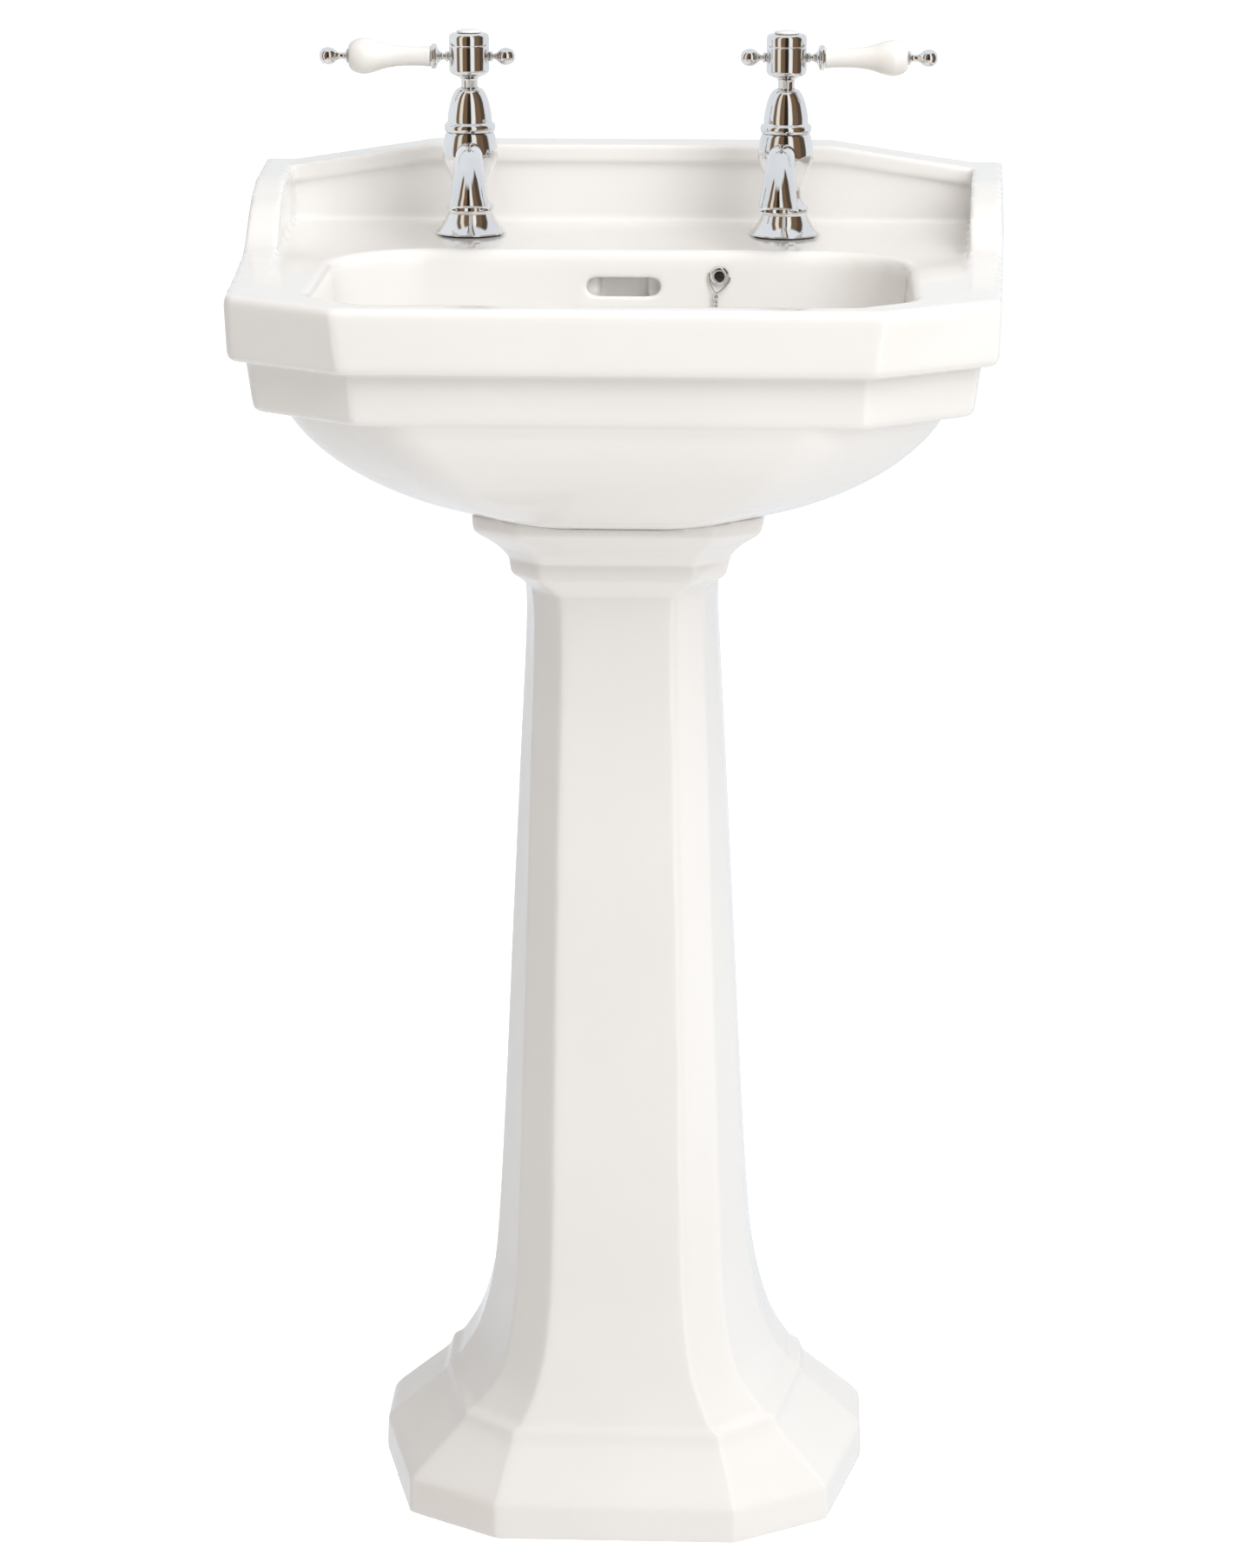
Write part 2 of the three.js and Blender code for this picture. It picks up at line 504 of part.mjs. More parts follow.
// The bead chain hangs down the back wall of the bowl, lies on its floor and ends at the plug.
const CHAIN_ROUTE = [[61.6, 28.9, 840.6], [61.5, 28.8, 832], [61.2, 28.4, 820], [60.6, 27.4, 806],
  [59.8, 25.5, 790], [58.8, 22.6, 773], [57.6, 17.9, 757], [56.4, 11.6, 740.1], [55.8, 3.9, 729.2],
  [56, -6, 721.9], [58.5, -18, 721.1], [63.5, -29, 721.5], [69, -39.5, 722.3], [72, -51, 722.8],
  [70, -62.5, 722.5], [62.5, -71.5, 721.9], [51.5, -75, 721.5], [40.5, -71.5, 721], [33.5, -62.5, 720.1],
  [31.5, -51.5, 719.4], [32.5, -40.5, 719.3], [29, -30.5, 720.6], [21.5, -23, 725.5],
  [12.5, -20.2, 727.6], [4.9, -20, 726.8]];

function makeChain() {
  const onWall = (node, material, geometry) =>
    add(node, material, geometry.rotateX(Math.PI / 2), STAY.x, STAY_WALL_Y, STAY.z);
  onWall('chain_stay', chrome, turned([[0, -33], [2.6, -33], [2.6, GAP], [6.6, GAP], [6.6, 1.6], [5.4, 3.1],
    [3.2, 3.4], [3.2, 2.2], [0, 2.2]], 20));
  onWall('stay_insert', blackPlastic, turned([[0, 2.5], [2.9, 2.5], [2.9, 3.6], [0, 3.9]], 16));
  onWall('stay_nut', brass, nut(10, 2.9, -31, -27));
  const legs = [[7.3, 0.4, 1], [7, -2.6, 1.3], [2.6, -9.6, 2.4], [0, -11.4, 2.6], [-2.6, -9.6, 2.4],
    [-7, -2.6, 1.3], [-7.3, 0.4, 1]];
  onWall('stay_link', chrome, wire(legs, 0.55, 6, 24).rotateZ(-LINK_LEAN));
  const coupling = turned([[0, -4.4], [1.3, -4.4], [1.9, -3], [1.5, -1.4], [0.8, -0.3], [0, -0.3]], 10);
  add('chain_coupling', chrome, coupling, STAY.x - 2.4, STAY_WALL_Y - 2.7, STAY.z - 11.6);
  add('bead_chain', chrome, wire(CHAIN_ROUTE, CHAIN_R, 8, 66));
}

function makeTrap() {
  const put = (node, material, geometry) => add(node, material, geometry, WASTE.x, WASTE.y, 0);
  const inletNut = turned([[21.6, 644], [26, 644], [26, 664], [24, 666], [21.6, 666], [21.6, 644]]);
  put('trap_inlet_nut', chrome, inletNut);
  const shell = turned([[16, 560], [18, 560], [18, 632], [27, 632], [27, 570], [29.5, 570], [29.5, 634],
    [25, 638], [20, 639.6], [16, 639.6], [16, 560]]);
  const socket = rod(19, 20, 44).rotateX(-Math.PI / 2).translate(0, 0, 608);
  const passage = rod(14, 19, 60).rotateX(-Math.PI / 2).translate(0, 0, 608);
  const socketShell = cut(solid(socket), rod(28, 590, 626));
  put('trap_body', chrome, surface(cut(solid(shell).add(socketShell), passage)));
  put('trap_cup', chrome, turned([[0, 522], [18, 522], [27, 526], [31, 534], [31, 569.6], [27.4, 569.6],
    [27.4, 536], [0, 528]]));
  const outlet = (geometry) => geometry.rotateX(-Math.PI / 2).translate(0, 0, 608);
  put('trap_outlet_nut', chrome, outlet(washer(16.4, 23, 44.3, 62)));
  put('outlet_pipe', chrome, outlet(washer(13.6, 16, 44.6, 215)));
}

makeBasin();
makePedestal();
makeTap('hot', -1);
makeTap('cold', 1);
makeWaste();
makeChain();
makeTrap();

export default sink;
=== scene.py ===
"""A pedestal sink: an octagonal china basin with upstand on a faceted pedestal, two pillar lever taps,
plug and bead chain, waste and bottle trap. Shapes are worked out in millimetres and made in metres."""
import math

import bmesh
import bpy
from mathutils import Matrix, Vector


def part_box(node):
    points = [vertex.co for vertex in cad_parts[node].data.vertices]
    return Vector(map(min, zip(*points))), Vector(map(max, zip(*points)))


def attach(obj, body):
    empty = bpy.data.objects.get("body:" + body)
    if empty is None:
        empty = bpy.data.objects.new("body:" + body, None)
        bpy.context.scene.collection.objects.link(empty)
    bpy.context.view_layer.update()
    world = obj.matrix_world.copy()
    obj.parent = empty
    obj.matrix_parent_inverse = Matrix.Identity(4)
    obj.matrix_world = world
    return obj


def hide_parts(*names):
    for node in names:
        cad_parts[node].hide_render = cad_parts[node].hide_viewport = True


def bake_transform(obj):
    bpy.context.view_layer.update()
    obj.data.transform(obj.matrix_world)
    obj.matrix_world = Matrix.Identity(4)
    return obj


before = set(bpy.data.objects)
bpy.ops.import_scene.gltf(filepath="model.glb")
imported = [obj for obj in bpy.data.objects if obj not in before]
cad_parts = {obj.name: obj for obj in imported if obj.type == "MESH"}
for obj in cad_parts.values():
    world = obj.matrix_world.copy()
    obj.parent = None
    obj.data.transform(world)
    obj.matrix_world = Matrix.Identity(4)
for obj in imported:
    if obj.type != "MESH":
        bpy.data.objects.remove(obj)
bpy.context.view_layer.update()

MM = 0.001


def box_mm(node):
    """The lowest and highest corners of a CAD node, in millimetres."""
    low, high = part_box(node)
    return [c / MM for c in low], [c / MM for c in high]


def middle_mm(node):
    low, high = box_mm(node)
    return [(a + b) / 2 for a, b in zip(low, high)]


# ---------------------------------------------------------------- sizes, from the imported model
GAP = 0.3                                   # clearance between pieces that touch
BASIN_LOW, BASIN_HIGH = box_mm("basin")
FRONT, WALL = BASIN_LOW[1], BASIN_HIGH[1]
PAD_Z, UPSTAND_Z = BASIN_LOW[2], BASIN_HIGH[2]
DECK_Z = box_mm("hot_foot_seal")[0][2] - GAP
SHOULDER_Z = UPSTAND_Z - 15                 # top of the upstand at its ends and of the wings
BAND_Z = DECK_Z - 42                        # underside of the upper band of the skirt
SKIRT_Z = DECK_Z - 76                       # underside of the lower band of the skirt
PANEL_Y = WALL - 37                         # front face of the upstand panel
RIM_BACK = BASIN_HIGH[0]                    # half the width of the rim at the wall
SIDE_FLARE = 3                              # degrees that the sides of the basin open backwards
WING_X = 227                                # inner face of the wings, before they are turned
WING_FRONT = 106                            # where the top of a wing ends
DECK_THICK = 14
BOWL_FLOOR = PAD_Z + 18
WASTE_X, WASTE_Y, _ = middle_mm("plug_cap")
TAP_X, TAP_Y, _ = middle_mm("cold_spindle")
LEVER_Z = middle_mm("cold_lever_grip")[2]
STAY_X, _, STAY_Z = middle_mm("chain_stay")
STAY_WALL_Y = box_mm("chain_stay")[0][1] + 3.4
PED_HIGH = box_mm("pedestal")[1]
PED_WALL = 13
SEAM = 0.1                                  # between the basin and the top of the pedestal
SOCKET_Z = middle_mm("outlet_pipe")[2]

VOXEL = 1.7                                 # grid of the china's skin
LATHE_SIDES = 72
LATHE_STEP = 0.7                            # spacing of points along a turned profile


# ---------------------------------------------------------------- outlines

def lerp(a, b, t):
    return a + (b - a) * t


def inset(corners, amount):
    """Moves every side of a convex outline of (x, y, radius) corners inwards."""
    lines = []
    for i, (x, y, _) in enumerate(corners):
        next_x, next_y, _ = corners[(i + 1) % len(corners)]
        length = math.hypot(next_x - x, next_y - y)
        nx, ny = (next_y - y) / length, (x - next_x) / length
        lines.append((nx, ny, nx * x + ny * y - amount))
    moved = []
    for i, (_, _, radius) in enumerate(corners):
        (px, py, pd), (qx, qy, qd) = lines[i - 1], lines[i]
        cross = px * qy - py * qx
        x, y = (pd * qy - qd * py) / cross, (px * qd - qx * pd) / cross
        moved.append((x, y, max(radius - amount, 0.5)))
    return moved


def scaled(corners, factor, centre):
    cx, cy = centre
    return [(cx + (x - cx) * factor, cy + (y - cy) * factor, r * factor) for x, y, r in corners]


def ring(corners, steps, z):
    """Points of a convex outline at height z, with its corners rounded."""
    points = []
    for i, (x, y, radius) in enumerate(corners):
        here = Vector((x, y))
        back = Vector(corners[i - 1][:2]) - here
        on = Vector(corners[(i + 1) % len(corners)][:2]) - here
        half = back.angle(on) / 2
        reach = min(radius / math.tan(half), 0.49 * min(back.length, on.length))
        real = reach * math.tan(half)
        centre = here + (back.normalized() + on.normalized()).normalized() * (real / math.sin(half))
        start = here + back.normalized() * reach - centre
        for k in range(steps + 1):
            turn = (math.pi - 2 * half) * k / steps
            cos, sin = math.cos(turn), math.sin(turn)
            x_k, y_k = start.x * cos - start.y * sin, start.x * sin + start.y * cos
            points.append((centre.x + x_k, centre.y + y_k, z))
    return points


def curve(points, step):
    """A smooth open line through points, as points about one step apart."""
    if len(points) == 2:
        return [tuple(p) for p in points]
    nodes = [Vector(p) for p in points]
    nodes = [2 * nodes[0] - nodes[1], *nodes, 2 * nodes[-1] - nodes[-2]]
    line = [tuple(nodes[1])]
    for a, b, c, d in zip(nodes, nodes[1:], nodes[2:], nodes[3:]):
        knots = [0.0]
        for p, q in ((a, b), (b, c), (c, d)):
            knots.append(knots[-1] + max(math.sqrt((q - p).length), 1e-4))
        count = max(1, math.ceil((c - b).length / step))
        slope_b = (b - a) / knots[1] - (c - a) / knots[2] + (c - b) / (knots[2] - knots[1])
        slope_c = ((c - b) / (knots[2] - knots[1]) - (d - b) / (knots[3] - knots[1])
                   + (d - c) / (knots[3] - knots[2]))
        slope_b *= knots[2] - knots[1]
        slope_c *= knots[2] - knots[1]
        for k in range(1, count + 1):
            t = k / count
            place = ((2 * t ** 3 - 3 * t ** 2 + 1) * b + (t ** 3 - 2 * t ** 2 + t) * slope_b
                     + (3 * t ** 2 - 2 * t ** 3) * c + (t ** 3 - t ** 2) * slope_c)
            line.append(tuple(place))
    return line


# ---------------------------------------------------------------- bodies, as (vertices, faces)

def loft(rings):
    """A closed body through rings that all have the same number of points."""
    size = len(rings[0])
    verts = [point for points in rings for point in points]
    faces = [tuple(reversed(range(size))), tuple(range(len(verts) - size, len(verts)))]
    for i in range(len(rings) - 1):
        for j in range(size):
            k = (j + 1) % size
            faces.append((i * size + j, i * size + k, (i + 1) * size + k, (i + 1) * size + j))
    return verts, faces


def box(x0, x1, y0, y1, z0, z1):
    outline = [(x0, y0), (x1, y0), (x1, y1), (x0, y1)]
    return loft([[(x, y, z) for x, y in outline] for z in (z0, z1)])


def slab_x(outline, x0, x1):
    """An outline of (y, z) points, given thickness along X."""
    return loft([[(x, y, z) for y, z in outline] for x in (x0, x1)])


def slab_y(outline, y0, y1):
    """An outline of (x, z) points, given thickness along Y."""
    return loft([[(x, y, z) for x, z in outline] for y in (y0, y1)])


def linked(start, *stretches):
    """Runs of a profile that each start where the last one ended."""
    runs = []
    for stretch in stretches:
        runs.append([start, *stretch])
        start = stretch[-1]
    return runs


def square_ring(inner, outer, low, high):
    """Runs of a ring with a square section."""
    return linked((inner, low), [(outer, low)], [(outer, high)], [(inner, high)], [(inner, low)])


def profile_of(runs):
    """One profile from smooth runs of (radius, height); where two runs meet there's an edge."""
    line = []
    for run in runs:
        points = curve(run, LATHE_STEP)
        line += points[1:] if line and math.dist(line[-1], points[0]) < 1e-6 else points
    return line


def lathe(runs, sides=LATHE_SIDES):
    """A body turned about +Z. A profile that ends where it starts makes a ring."""
    line = profile_of(runs)
    looped = math.dist(line[0], line[-1]) < 1e-6
    if looped:
        line = line[:-1]
    verts, rows, faces = [], [], []
    for radius, height in line:
        count = 1 if radius < 1e-6 else sides
        rows.append(range(len(verts), len(verts) + count))
        for k in range(count):
            turn = 2 * math.pi * k / sides
            verts.append((radius * math.cos(turn), radius * math.sin(turn), height))
    for low, high in zip(rows, [*rows[1:], rows[0]] if looped else rows[1:]):
        for j in range(sides):
            k = (j + 1) % sides
            quad = [low[j % len(low)], low[k % len(low)], high[k % len(high)], high[j % len(high)]]
            corners = list(dict.fromkeys(quad))
            if len(corners) > 2:
                faces.append(corners)
    return verts, faces


def rod(radius, low, high, sides=48):
    return lathe(linked((0, low), [(radius, low)], [(radius, high)], [(0, high)]), sides)


def tube(stations, sides=40):
    """A round bar along (x, y, z, radius) stations, with flat ends."""
    points = [Vector(s[:3]) for s in stations]
    rings = []
    side = Vector((1, 0, 0)) if abs((points[1] - points[0]).normalized().x) < 0.9 else Vector((0, 1, 0))
    for i, point in enumerate(points):
        along = (points[min(i + 1, len(points) - 1)] - points[max(i - 1, 0)]).normalized()
        side = (side - along * side.dot(along)).normalized()
        up = along.cross(side)
        turns = [2 * math.pi * k / sides for k in range(sides)]
        rings.append([tuple(point + (side * math.cos(t) + up * math.sin(t)) * stations[i][3])
                      for t in turns])
    return loft(rings)


def moved(body, matrix):
    verts, faces = body
    return [tuple(matrix @ Vector(v)) for v in verts], faces


def shift(x=0.0, y=0.0, z=0.0):
    return Matrix.Translation((x, y, z))


ALONG_Y = Matrix.Rotation(-math.pi / 2, 4, "X")      # turns +Z to +Y
TO_FRONT = Matrix.Rotation(math.pi / 2, 4, "X")      # turns +Z to -Y


# ---------------------------------------------------------------- objects

def mesh_object(name, *bodies):
    verts, faces = [], []
    for body_verts, body_faces in bodies:
        faces += [[len(verts) + i for i in face] for face in body_faces]
        verts += [[c * MM for c in v] for v in body_verts]
    mesh = bpy.data.meshes.new(name)
    mesh.from_pydata(verts, [], faces)
    shape = bmesh.new()
    shape.from_mesh(mesh)
    bmesh.ops.remove_doubles(shape, verts=shape.verts, dist=1e-7)
    bmesh.ops.recalc_face_normals(shape, faces=shape.faces)
    shape.to_mesh(mesh)
    shape.free()
    obj = bpy.data.objects.new(name, mesh)
    bpy.context.scene.collection.objects.link(obj)
    return obj


def settle(obj, spent=()):
    """Turns an object's modifiers into its mesh, and removes the objects they used."""
    graph = bpy.context.evaluated_depsgraph_get()
    mesh = bpy.data.meshes.new_from_object(obj.evaluated_get(graph))
    old = obj.data
    obj.modifiers.clear()
    obj.data = mesh
    bpy.data.meshes.remove(old)
    for tool in spent:
        bpy.data.meshes.remove(tool.data)


def carve(obj, added=(), removed=()):
    """Joins bodies to an object and cuts others from it."""
    spent = []
    for operation, bodies in (("UNION", added), ("DIFFERENCE", removed)):
        for body in bodies:
            tool = mesh_object(f"{obj.name}_tool", body)
            change = obj.modifiers.new("carve", "BOOLEAN")
            change.operation, change.solver, change.object = operation, "MANIFOLD", tool
            spent.append(tool)
    settle(obj, spent)


def keep_within(obj, body):
    """Cuts off what lies outside a body."""
    limit = mesh_object(f"{obj.name}_limit", body)
    change = obj.modifiers.new("limit", "BOOLEAN")
    change.operation, change.solver, change.object = "INTERSECT", "MANIFOLD", limit
    settle(obj, [limit])


def glaze(obj, rounds):
    """Gives cast china its skin: an even mesh whose edges are softened as glaze softens them."""
    remesh = obj.modifiers.new("skin", "REMESH")
    remesh.mode, remesh.voxel_size = "VOXEL", VOXEL * MM
    soften = obj.modifiers.new("soften", "SMOOTH")
    soften.factor, soften.iterations = 0.5, rounds
    settle(obj)
    obj.data.shade_smooth()


def crisp(obj, width=0.3, sharp=38):
    """Small machined radii on edges, and smooth shading between them."""
    bevel = obj.modifiers.new("edges", "BEVEL")
    bevel.width, bevel.segments, bevel.limit_method = width * MM, 2, "ANGLE"
    bevel.angle_limit = math.radians(30)
    settle(obj)
    shade(obj, sharp)


def shade(obj, sharp=38):
    obj.data.shade_smooth()
    obj.data.set_sharp_from_angle(angle=math.radians(sharp))


def dress(obj, material, slot, body, *nodes):
    """Gives a piece its material, and hides the CAD nodes it stands for. It rides on a body,
    if it has one."""
    obj.data.materials.clear()
    obj.data.materials.append(material)
    if body:
        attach(obj, body)
    if nodes:
        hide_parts(*nodes)
    return obj


# ---------------------------------------------------------------- materials

def blank(name):
    material = bpy.data.materials.new(name)
    material.use_nodes = True
    return material, material.node_tree, material.node_tree.nodes["Principled BSDF"]


def noise(tree, scale, detail=3.0, stretch=(1, 1, 1)):
    """A noise value over the object's own coordinates, which are metres in the part's frame."""
    place = tree.nodes.new("ShaderNodeTexCoord")
    mapping = tree.nodes.new("ShaderNodeMapping")
    mapping.inputs["Scale"].default_value = stretch
    texture = tree.nodes.new("ShaderNodeTexNoise")
    texture.inputs["Scale"].default_value = scale
    texture.inputs["Detail"].default_value = detail
    tree.links.new(place.outputs["Object"], mapping.inputs["Vector"])
    tree.links.new(mapping.outputs["Vector"], texture.inputs["Vector"])
    return texture.outputs["Fac"]


def colours(tree, shader, value, low, high):
    ramp = tree.nodes.new("ShaderNodeValToRGB")
    ramp.color_ramp.elements[0].position, ramp.color_ramp.elements[1].position = 0.35, 0.65
    ramp.color_ramp.elements[0].color = (*low, 1)
    ramp.color_ramp.elements[1].color = (*high, 1)
    tree.links.new(value, ramp.inputs["Fac"])
    tree.links.new(ramp.outputs["Color"], shader.inputs["Base Color"])


def roughness(tree, shader, value, low, high):
    spread = tree.nodes.new("ShaderNodeMapRange")
    spread.inputs["From Min"].default_value, spread.inputs["From Max"].default_value = 0.3, 0.7
    spread.inputs["To Min"].default_value, spread.inputs["To Max"].default_value = low, high
    tree.links.new(value, spread.inputs["Value"])
    tree.links.new(spread.outputs["Result"], shader.inputs["Roughness"])


def relief(tree, shader, value, height, strength=0.3, sockets=("Normal",)):
    bump = tree.nodes.new("ShaderNodeBump")
    bump.inputs["Strength"].default_value = strength
    bump.inputs["Distance"].default_value = height * MM
    tree.links.new(value, bump.inputs["Height"])
    for socket in sockets:
        tree.links.new(bump.outputs["Normal"], shader.inputs[socket])


def glazed(name, low, high, waviness):
    """Fired clay under a clear glaze: faint pooling of tone, and a slightly wavy coat."""
    material, tree, shader = blank(name)
    colours(tree, shader, noise(tree, 7, 4), low, high)
    roughness(tree, shader, noise(tree, 40), 0.34, 0.48)
    relief(tree, shader, noise(tree, 120, 2), waviness, 0.25, ("Normal", "Coat Normal"))
    shader.inputs["Coat Weight"].default_value = 1.0
    shader.inputs["Coat Roughness"].default_value = 0.045
    shader.inputs["Coat IOR"].default_value = 1.52
    return material


def metal(name, low, high, smooth, dull, waviness=0.02, wave_scale=90, stretch=(1, 1, 1)):
    material, tree, shader = blank(name)
    shader.inputs["Metallic"].default_value = 1.0
    colours(tree, shader, noise(tree, 30, 4), low, high)
    roughness(tree, shader, noise(tree, 140, 5), smooth, dull)
    relief(tree, shader, noise(tree, wave_scale, 3, stretch), waviness, 0.25)
    return material


def soft(name, low, high, smooth, dull, grain, grain_scale):
    """Rubber or plastic, with a fine moulded grain."""
    material, tree, shader = blank(name)
    colours(tree, shader, noise(tree, 60, 4), low, high)
    roughness(tree, shader, noise(tree, 300, 3), smooth, dull)
    relief(tree, shader, noise(tree, grain_scale, 2), grain, 0.35)
    return material


CHINA = glazed("china", (0.87, 0.86, 0.845), (0.893, 0.885, 0.873), 0.012)
PORCELAIN = glazed("porcelain", (0.86, 0.845, 0.82), (0.885, 0.872, 0.85), 0.006)
CHROME = metal("chrome", (0.76, 0.765, 0.775), (0.84, 0.845, 0.85), 0.03, 0.09)
BRASS = metal("brass", (0.56, 0.4, 0.17), (0.68, 0.51, 0.25), 0.28, 0.46, 0.05, 500, (1, 1, 4))
RUBBER = soft("rubber", (0.018, 0.018, 0.019), (0.032, 0.032, 0.033), 0.6, 0.8, 0.04, 2600)
BLACK = soft("black_plastic", (0.008, 0.008, 0.009), (0.014, 0.014, 0.016), 0.15, 0.28, 0.01, 900)
WHITE = soft("white_plastic", (0.74, 0.74, 0.72), (0.79, 0.79, 0.77), 0.4, 0.52, 0.03, 1800)


# ---------------------------------------------------------------- camera

def make_camera():
    """The photograph's viewpoint, a little to the right of the middle and looking down."""
    turn, tilt = math.radians(2.23), math.radians(16.15)
    back = Vector((math.sin(turn) * math.cos(tilt), -math.cos(turn) * math.cos(tilt), math.sin(tilt)))
    data = bpy.data.cameras.new("camera")
    data.lens, data.sensor_width = 93.83, 36.0
    data.clip_end = 100
    camera = bpy.data.objects.new("camera", data)
    camera.location = (0.1081, -2.6738, 1.2883)
    camera.rotation_mode = "QUATERNION"
    camera.rotation_quaternion = (-back).to_track_quat("-Z", "Y")
    bpy.context.scene.collection.objects.link(camera)
    bpy.context.scene.camera = camera


# ---------------------------------------------------------------- basin

def basin_plan(front_half, front, side_half, side, back_half):
    """Six-cornered plan: straight front, chamfered front corners, sides that open backwards."""
    return [(-front_half, front, 12), (front_half, front, 12), (side_half, side, 12),
            (back_half, WALL, 3), (-back_half, WALL, 3), (-side_half, side, 12)]


RIM_TOP = basin_plan(170, FRONT, 242, -160, RIM_BACK)
RIM_BOTTOM = basin_plan(166, FRONT + 1.5, 241, -158, RIM_BACK - 1)
SKIRT_TOP = basin_plan(161, FRONT + 14, 230.5, -148, RIM_BACK - 12.5)
SKIRT_BOTTOM = basin_plan(159.5, FRONT + 15.5, 227, -146, RIM_BACK - 15.5)
OPENING = [(-150, -185, 20), (150, -185, 20), (188, -158, 30), (188, 33, 62), (-188, 33, 62),
           (-188, -158, 30)]
BELLY_LOW = [(-106, -188, 85), (106, -188, 85), (212, -92, 90), (212, 62, 100), (-212, 62, 100),
             (-212, -92, 90)]
BELLY_HIGH = [(-140, -190, 60), (140, -190, 60), (216, -130, 70), (216, 62, 100), (-216, 62, 100),
              (-216, -130, 70)]
BELLY_CENTRE = (0, -45)
BELLY_TOP = DECK_Z - 66


def swell(s, low, high, fullness, squareness):
    """Height of a rounded bowl section at the fraction s of its full width."""
    return low + (high - low) * (1 - (1 - s ** fullness) ** (1 / squareness))


def skirt_bands():
    upper = [(inset(RIM_TOP, 6), DECK_Z), (inset(RIM_TOP, 3), DECK_Z - 0.5),
             (inset(RIM_TOP, 1), DECK_Z - 2), (RIM_TOP, DECK_Z - 5), (RIM_BOTTOM, BAND_Z + 4),
             (inset(RIM_BOTTOM, 1.2), BAND_Z + 1.2), (inset(RIM_BOTTOM, 4), BAND_Z)]
    lower = [(SKIRT_TOP, BAND_Z + 6), (SKIRT_TOP, BAND_Z - 1), (SKIRT_BOTTOM, SKIRT_Z + 4),
             (inset(SKIRT_BOTTOM, 1.2), SKIRT_Z + 1.2), (inset(SKIRT_BOTTOM, 4), SKIRT_Z)]
    return [loft([ring(corners, 6, z) for corners, z in reversed(levels)]) for levels in (upper, lower)]


def belly_plan(share):
    """The belly's outline, blunter in front where it leaves the skirt than further down."""
    return [tuple(lerp(a, b, share ** 2.5) for a, b in zip(low, high))
            for low, high in zip(BELLY_LOW, BELLY_HIGH)]


def belly_body(drop=0.0):
    """The round underside of the bowl, lowered by the given drop."""
    shares = [0.06, *(lerp(0.12, 0.93, k / 22) for k in range(23)), 0.955, 0.975, 0.99]
    rings = [ring(scaled(belly_plan(s), s, BELLY_CENTRE), 14,
                  swell(s, PAD_Z + 10, BELLY_TOP, 2.6, 1.6) - drop) for s in shares]
    return loft([*rings, ring(belly_plan(1), 14, BELLY_TOP + 4)])


def bowl_hollow():
    """The inside of the bowl, with a rounded lip at the deck."""
    waste = (WASTE_X, WASTE_Y)
    shares = [0.06, *(lerp(0.12, 0.93, k / 26) for k in range(27)), 0.95, 0.965, 0.98]
    rings = [ring(scaled(OPENING, s, waste), 14, swell(s, BOWL_FLOOR, DECK_Z + 6, 3, 2.4))
             for s in shares]
    lip = [(1.5, 9), (0.7, 5.6), (-0.4, 3.2), (-1.8, 1.3), (-3.6, 0.3), (-5.2, -0.05), (-5.4, -6)]
    return loft([*rings, *(ring(inset(OPENING, amount), 14, DECK_Z - below) for amount, below in lip)])


def raised_back():
    """The upstand with its thicker top rail, and the two side wings that step down to the rim."""
    edge = RIM_BACK + 7

    def crest(drop):
        return [(-edge, DECK_Z - 13), (edge, DECK_Z - 13), (edge, SHOULDER_Z - drop),
                (236, SHOULDER_Z - drop), (138, UPSTAND_Z - drop), (-138, UPSTAND_Z - drop),
                (-236, SHOULDER_Z - drop), (-edge, SHOULDER_Z - drop)]

    slope = [(WING_FRONT + 14, SHOULDER_Z), (WING_FRONT, SHOULDER_Z - 1.4),
             (WING_FRONT - 22, SHOULDER_Z - 5.5), (WING_FRONT - 46, SHOULDER_Z - 12),
             (WING_FRONT - 62, DECK_Z + 17), (WING_FRONT - 73, DECK_Z + 10), (WING_FRONT - 87, DECK_Z + 5),
             (WING_FRONT - 108, DECK_Z + 2.4), (-40, DECK_Z + 0.8), (-140, DECK_Z - 1)]
    edge_line = [(y, z) for _, y, z, _ in curve([(0, y, z, 0) for y, z in slope], 4)]
    wing = [(WALL, SHOULDER_Z), *edge_line, (-140, DECK_Z - 8), (WALL, DECK_Z - 8)]
    raised = mesh_object("raised_back", slab_y(crest(0), PANEL_Y - 4, WALL))
    carve(raised, removed=[slab_y(crest(12), PANEL_Y - 6, PANEL_Y)])
    turned = [moved(body, Matrix.Rotation(math.radians(angle), 4, "Z"))
              for angle, body in ((-SIDE_FLARE, slab_x(wing, WING_X, edge + 20)),
                                  (SIDE_FLARE, slab_x(wing, -edge - 20, -WING_X)))]
    carve(raised, added=turned)
    keep_within(raised, loft([ring(RIM_TOP, 6, DECK_Z - 33), ring(inset(RIM_TOP, 0.5), 6, DECK_Z),
                              ring(inset(RIM_TOP, 3.5), 6, UPSTAND_Z + 4)]))
    return raised


def overflow_tools():
    """The moulded duct behind the bowl, and the slot that leads into it."""
    duct = [(38, 856), (49, 856), (49, 765), (40, 741), (25, 713), (12, 704), (-4, 704), (-4, 709.5),
            (10, 711), (22, 735), (33, 765), (38, 800)]
    half, low, high = 24.7, DECK_Z - 30.5, DECK_Z - 18
    radius = (high - low) / 2
    turns = [math.pi * k / 12 - math.pi / 2 for k in range(13)]
    right = [(half - radius + radius * math.cos(t), low + radius + radius * math.sin(t)) for t in turns]
    left = [(-x, z) for x, z in reversed(right)]
    return [slab_x(duct, -16, 16), slab_y(right + left, 20, 44)]


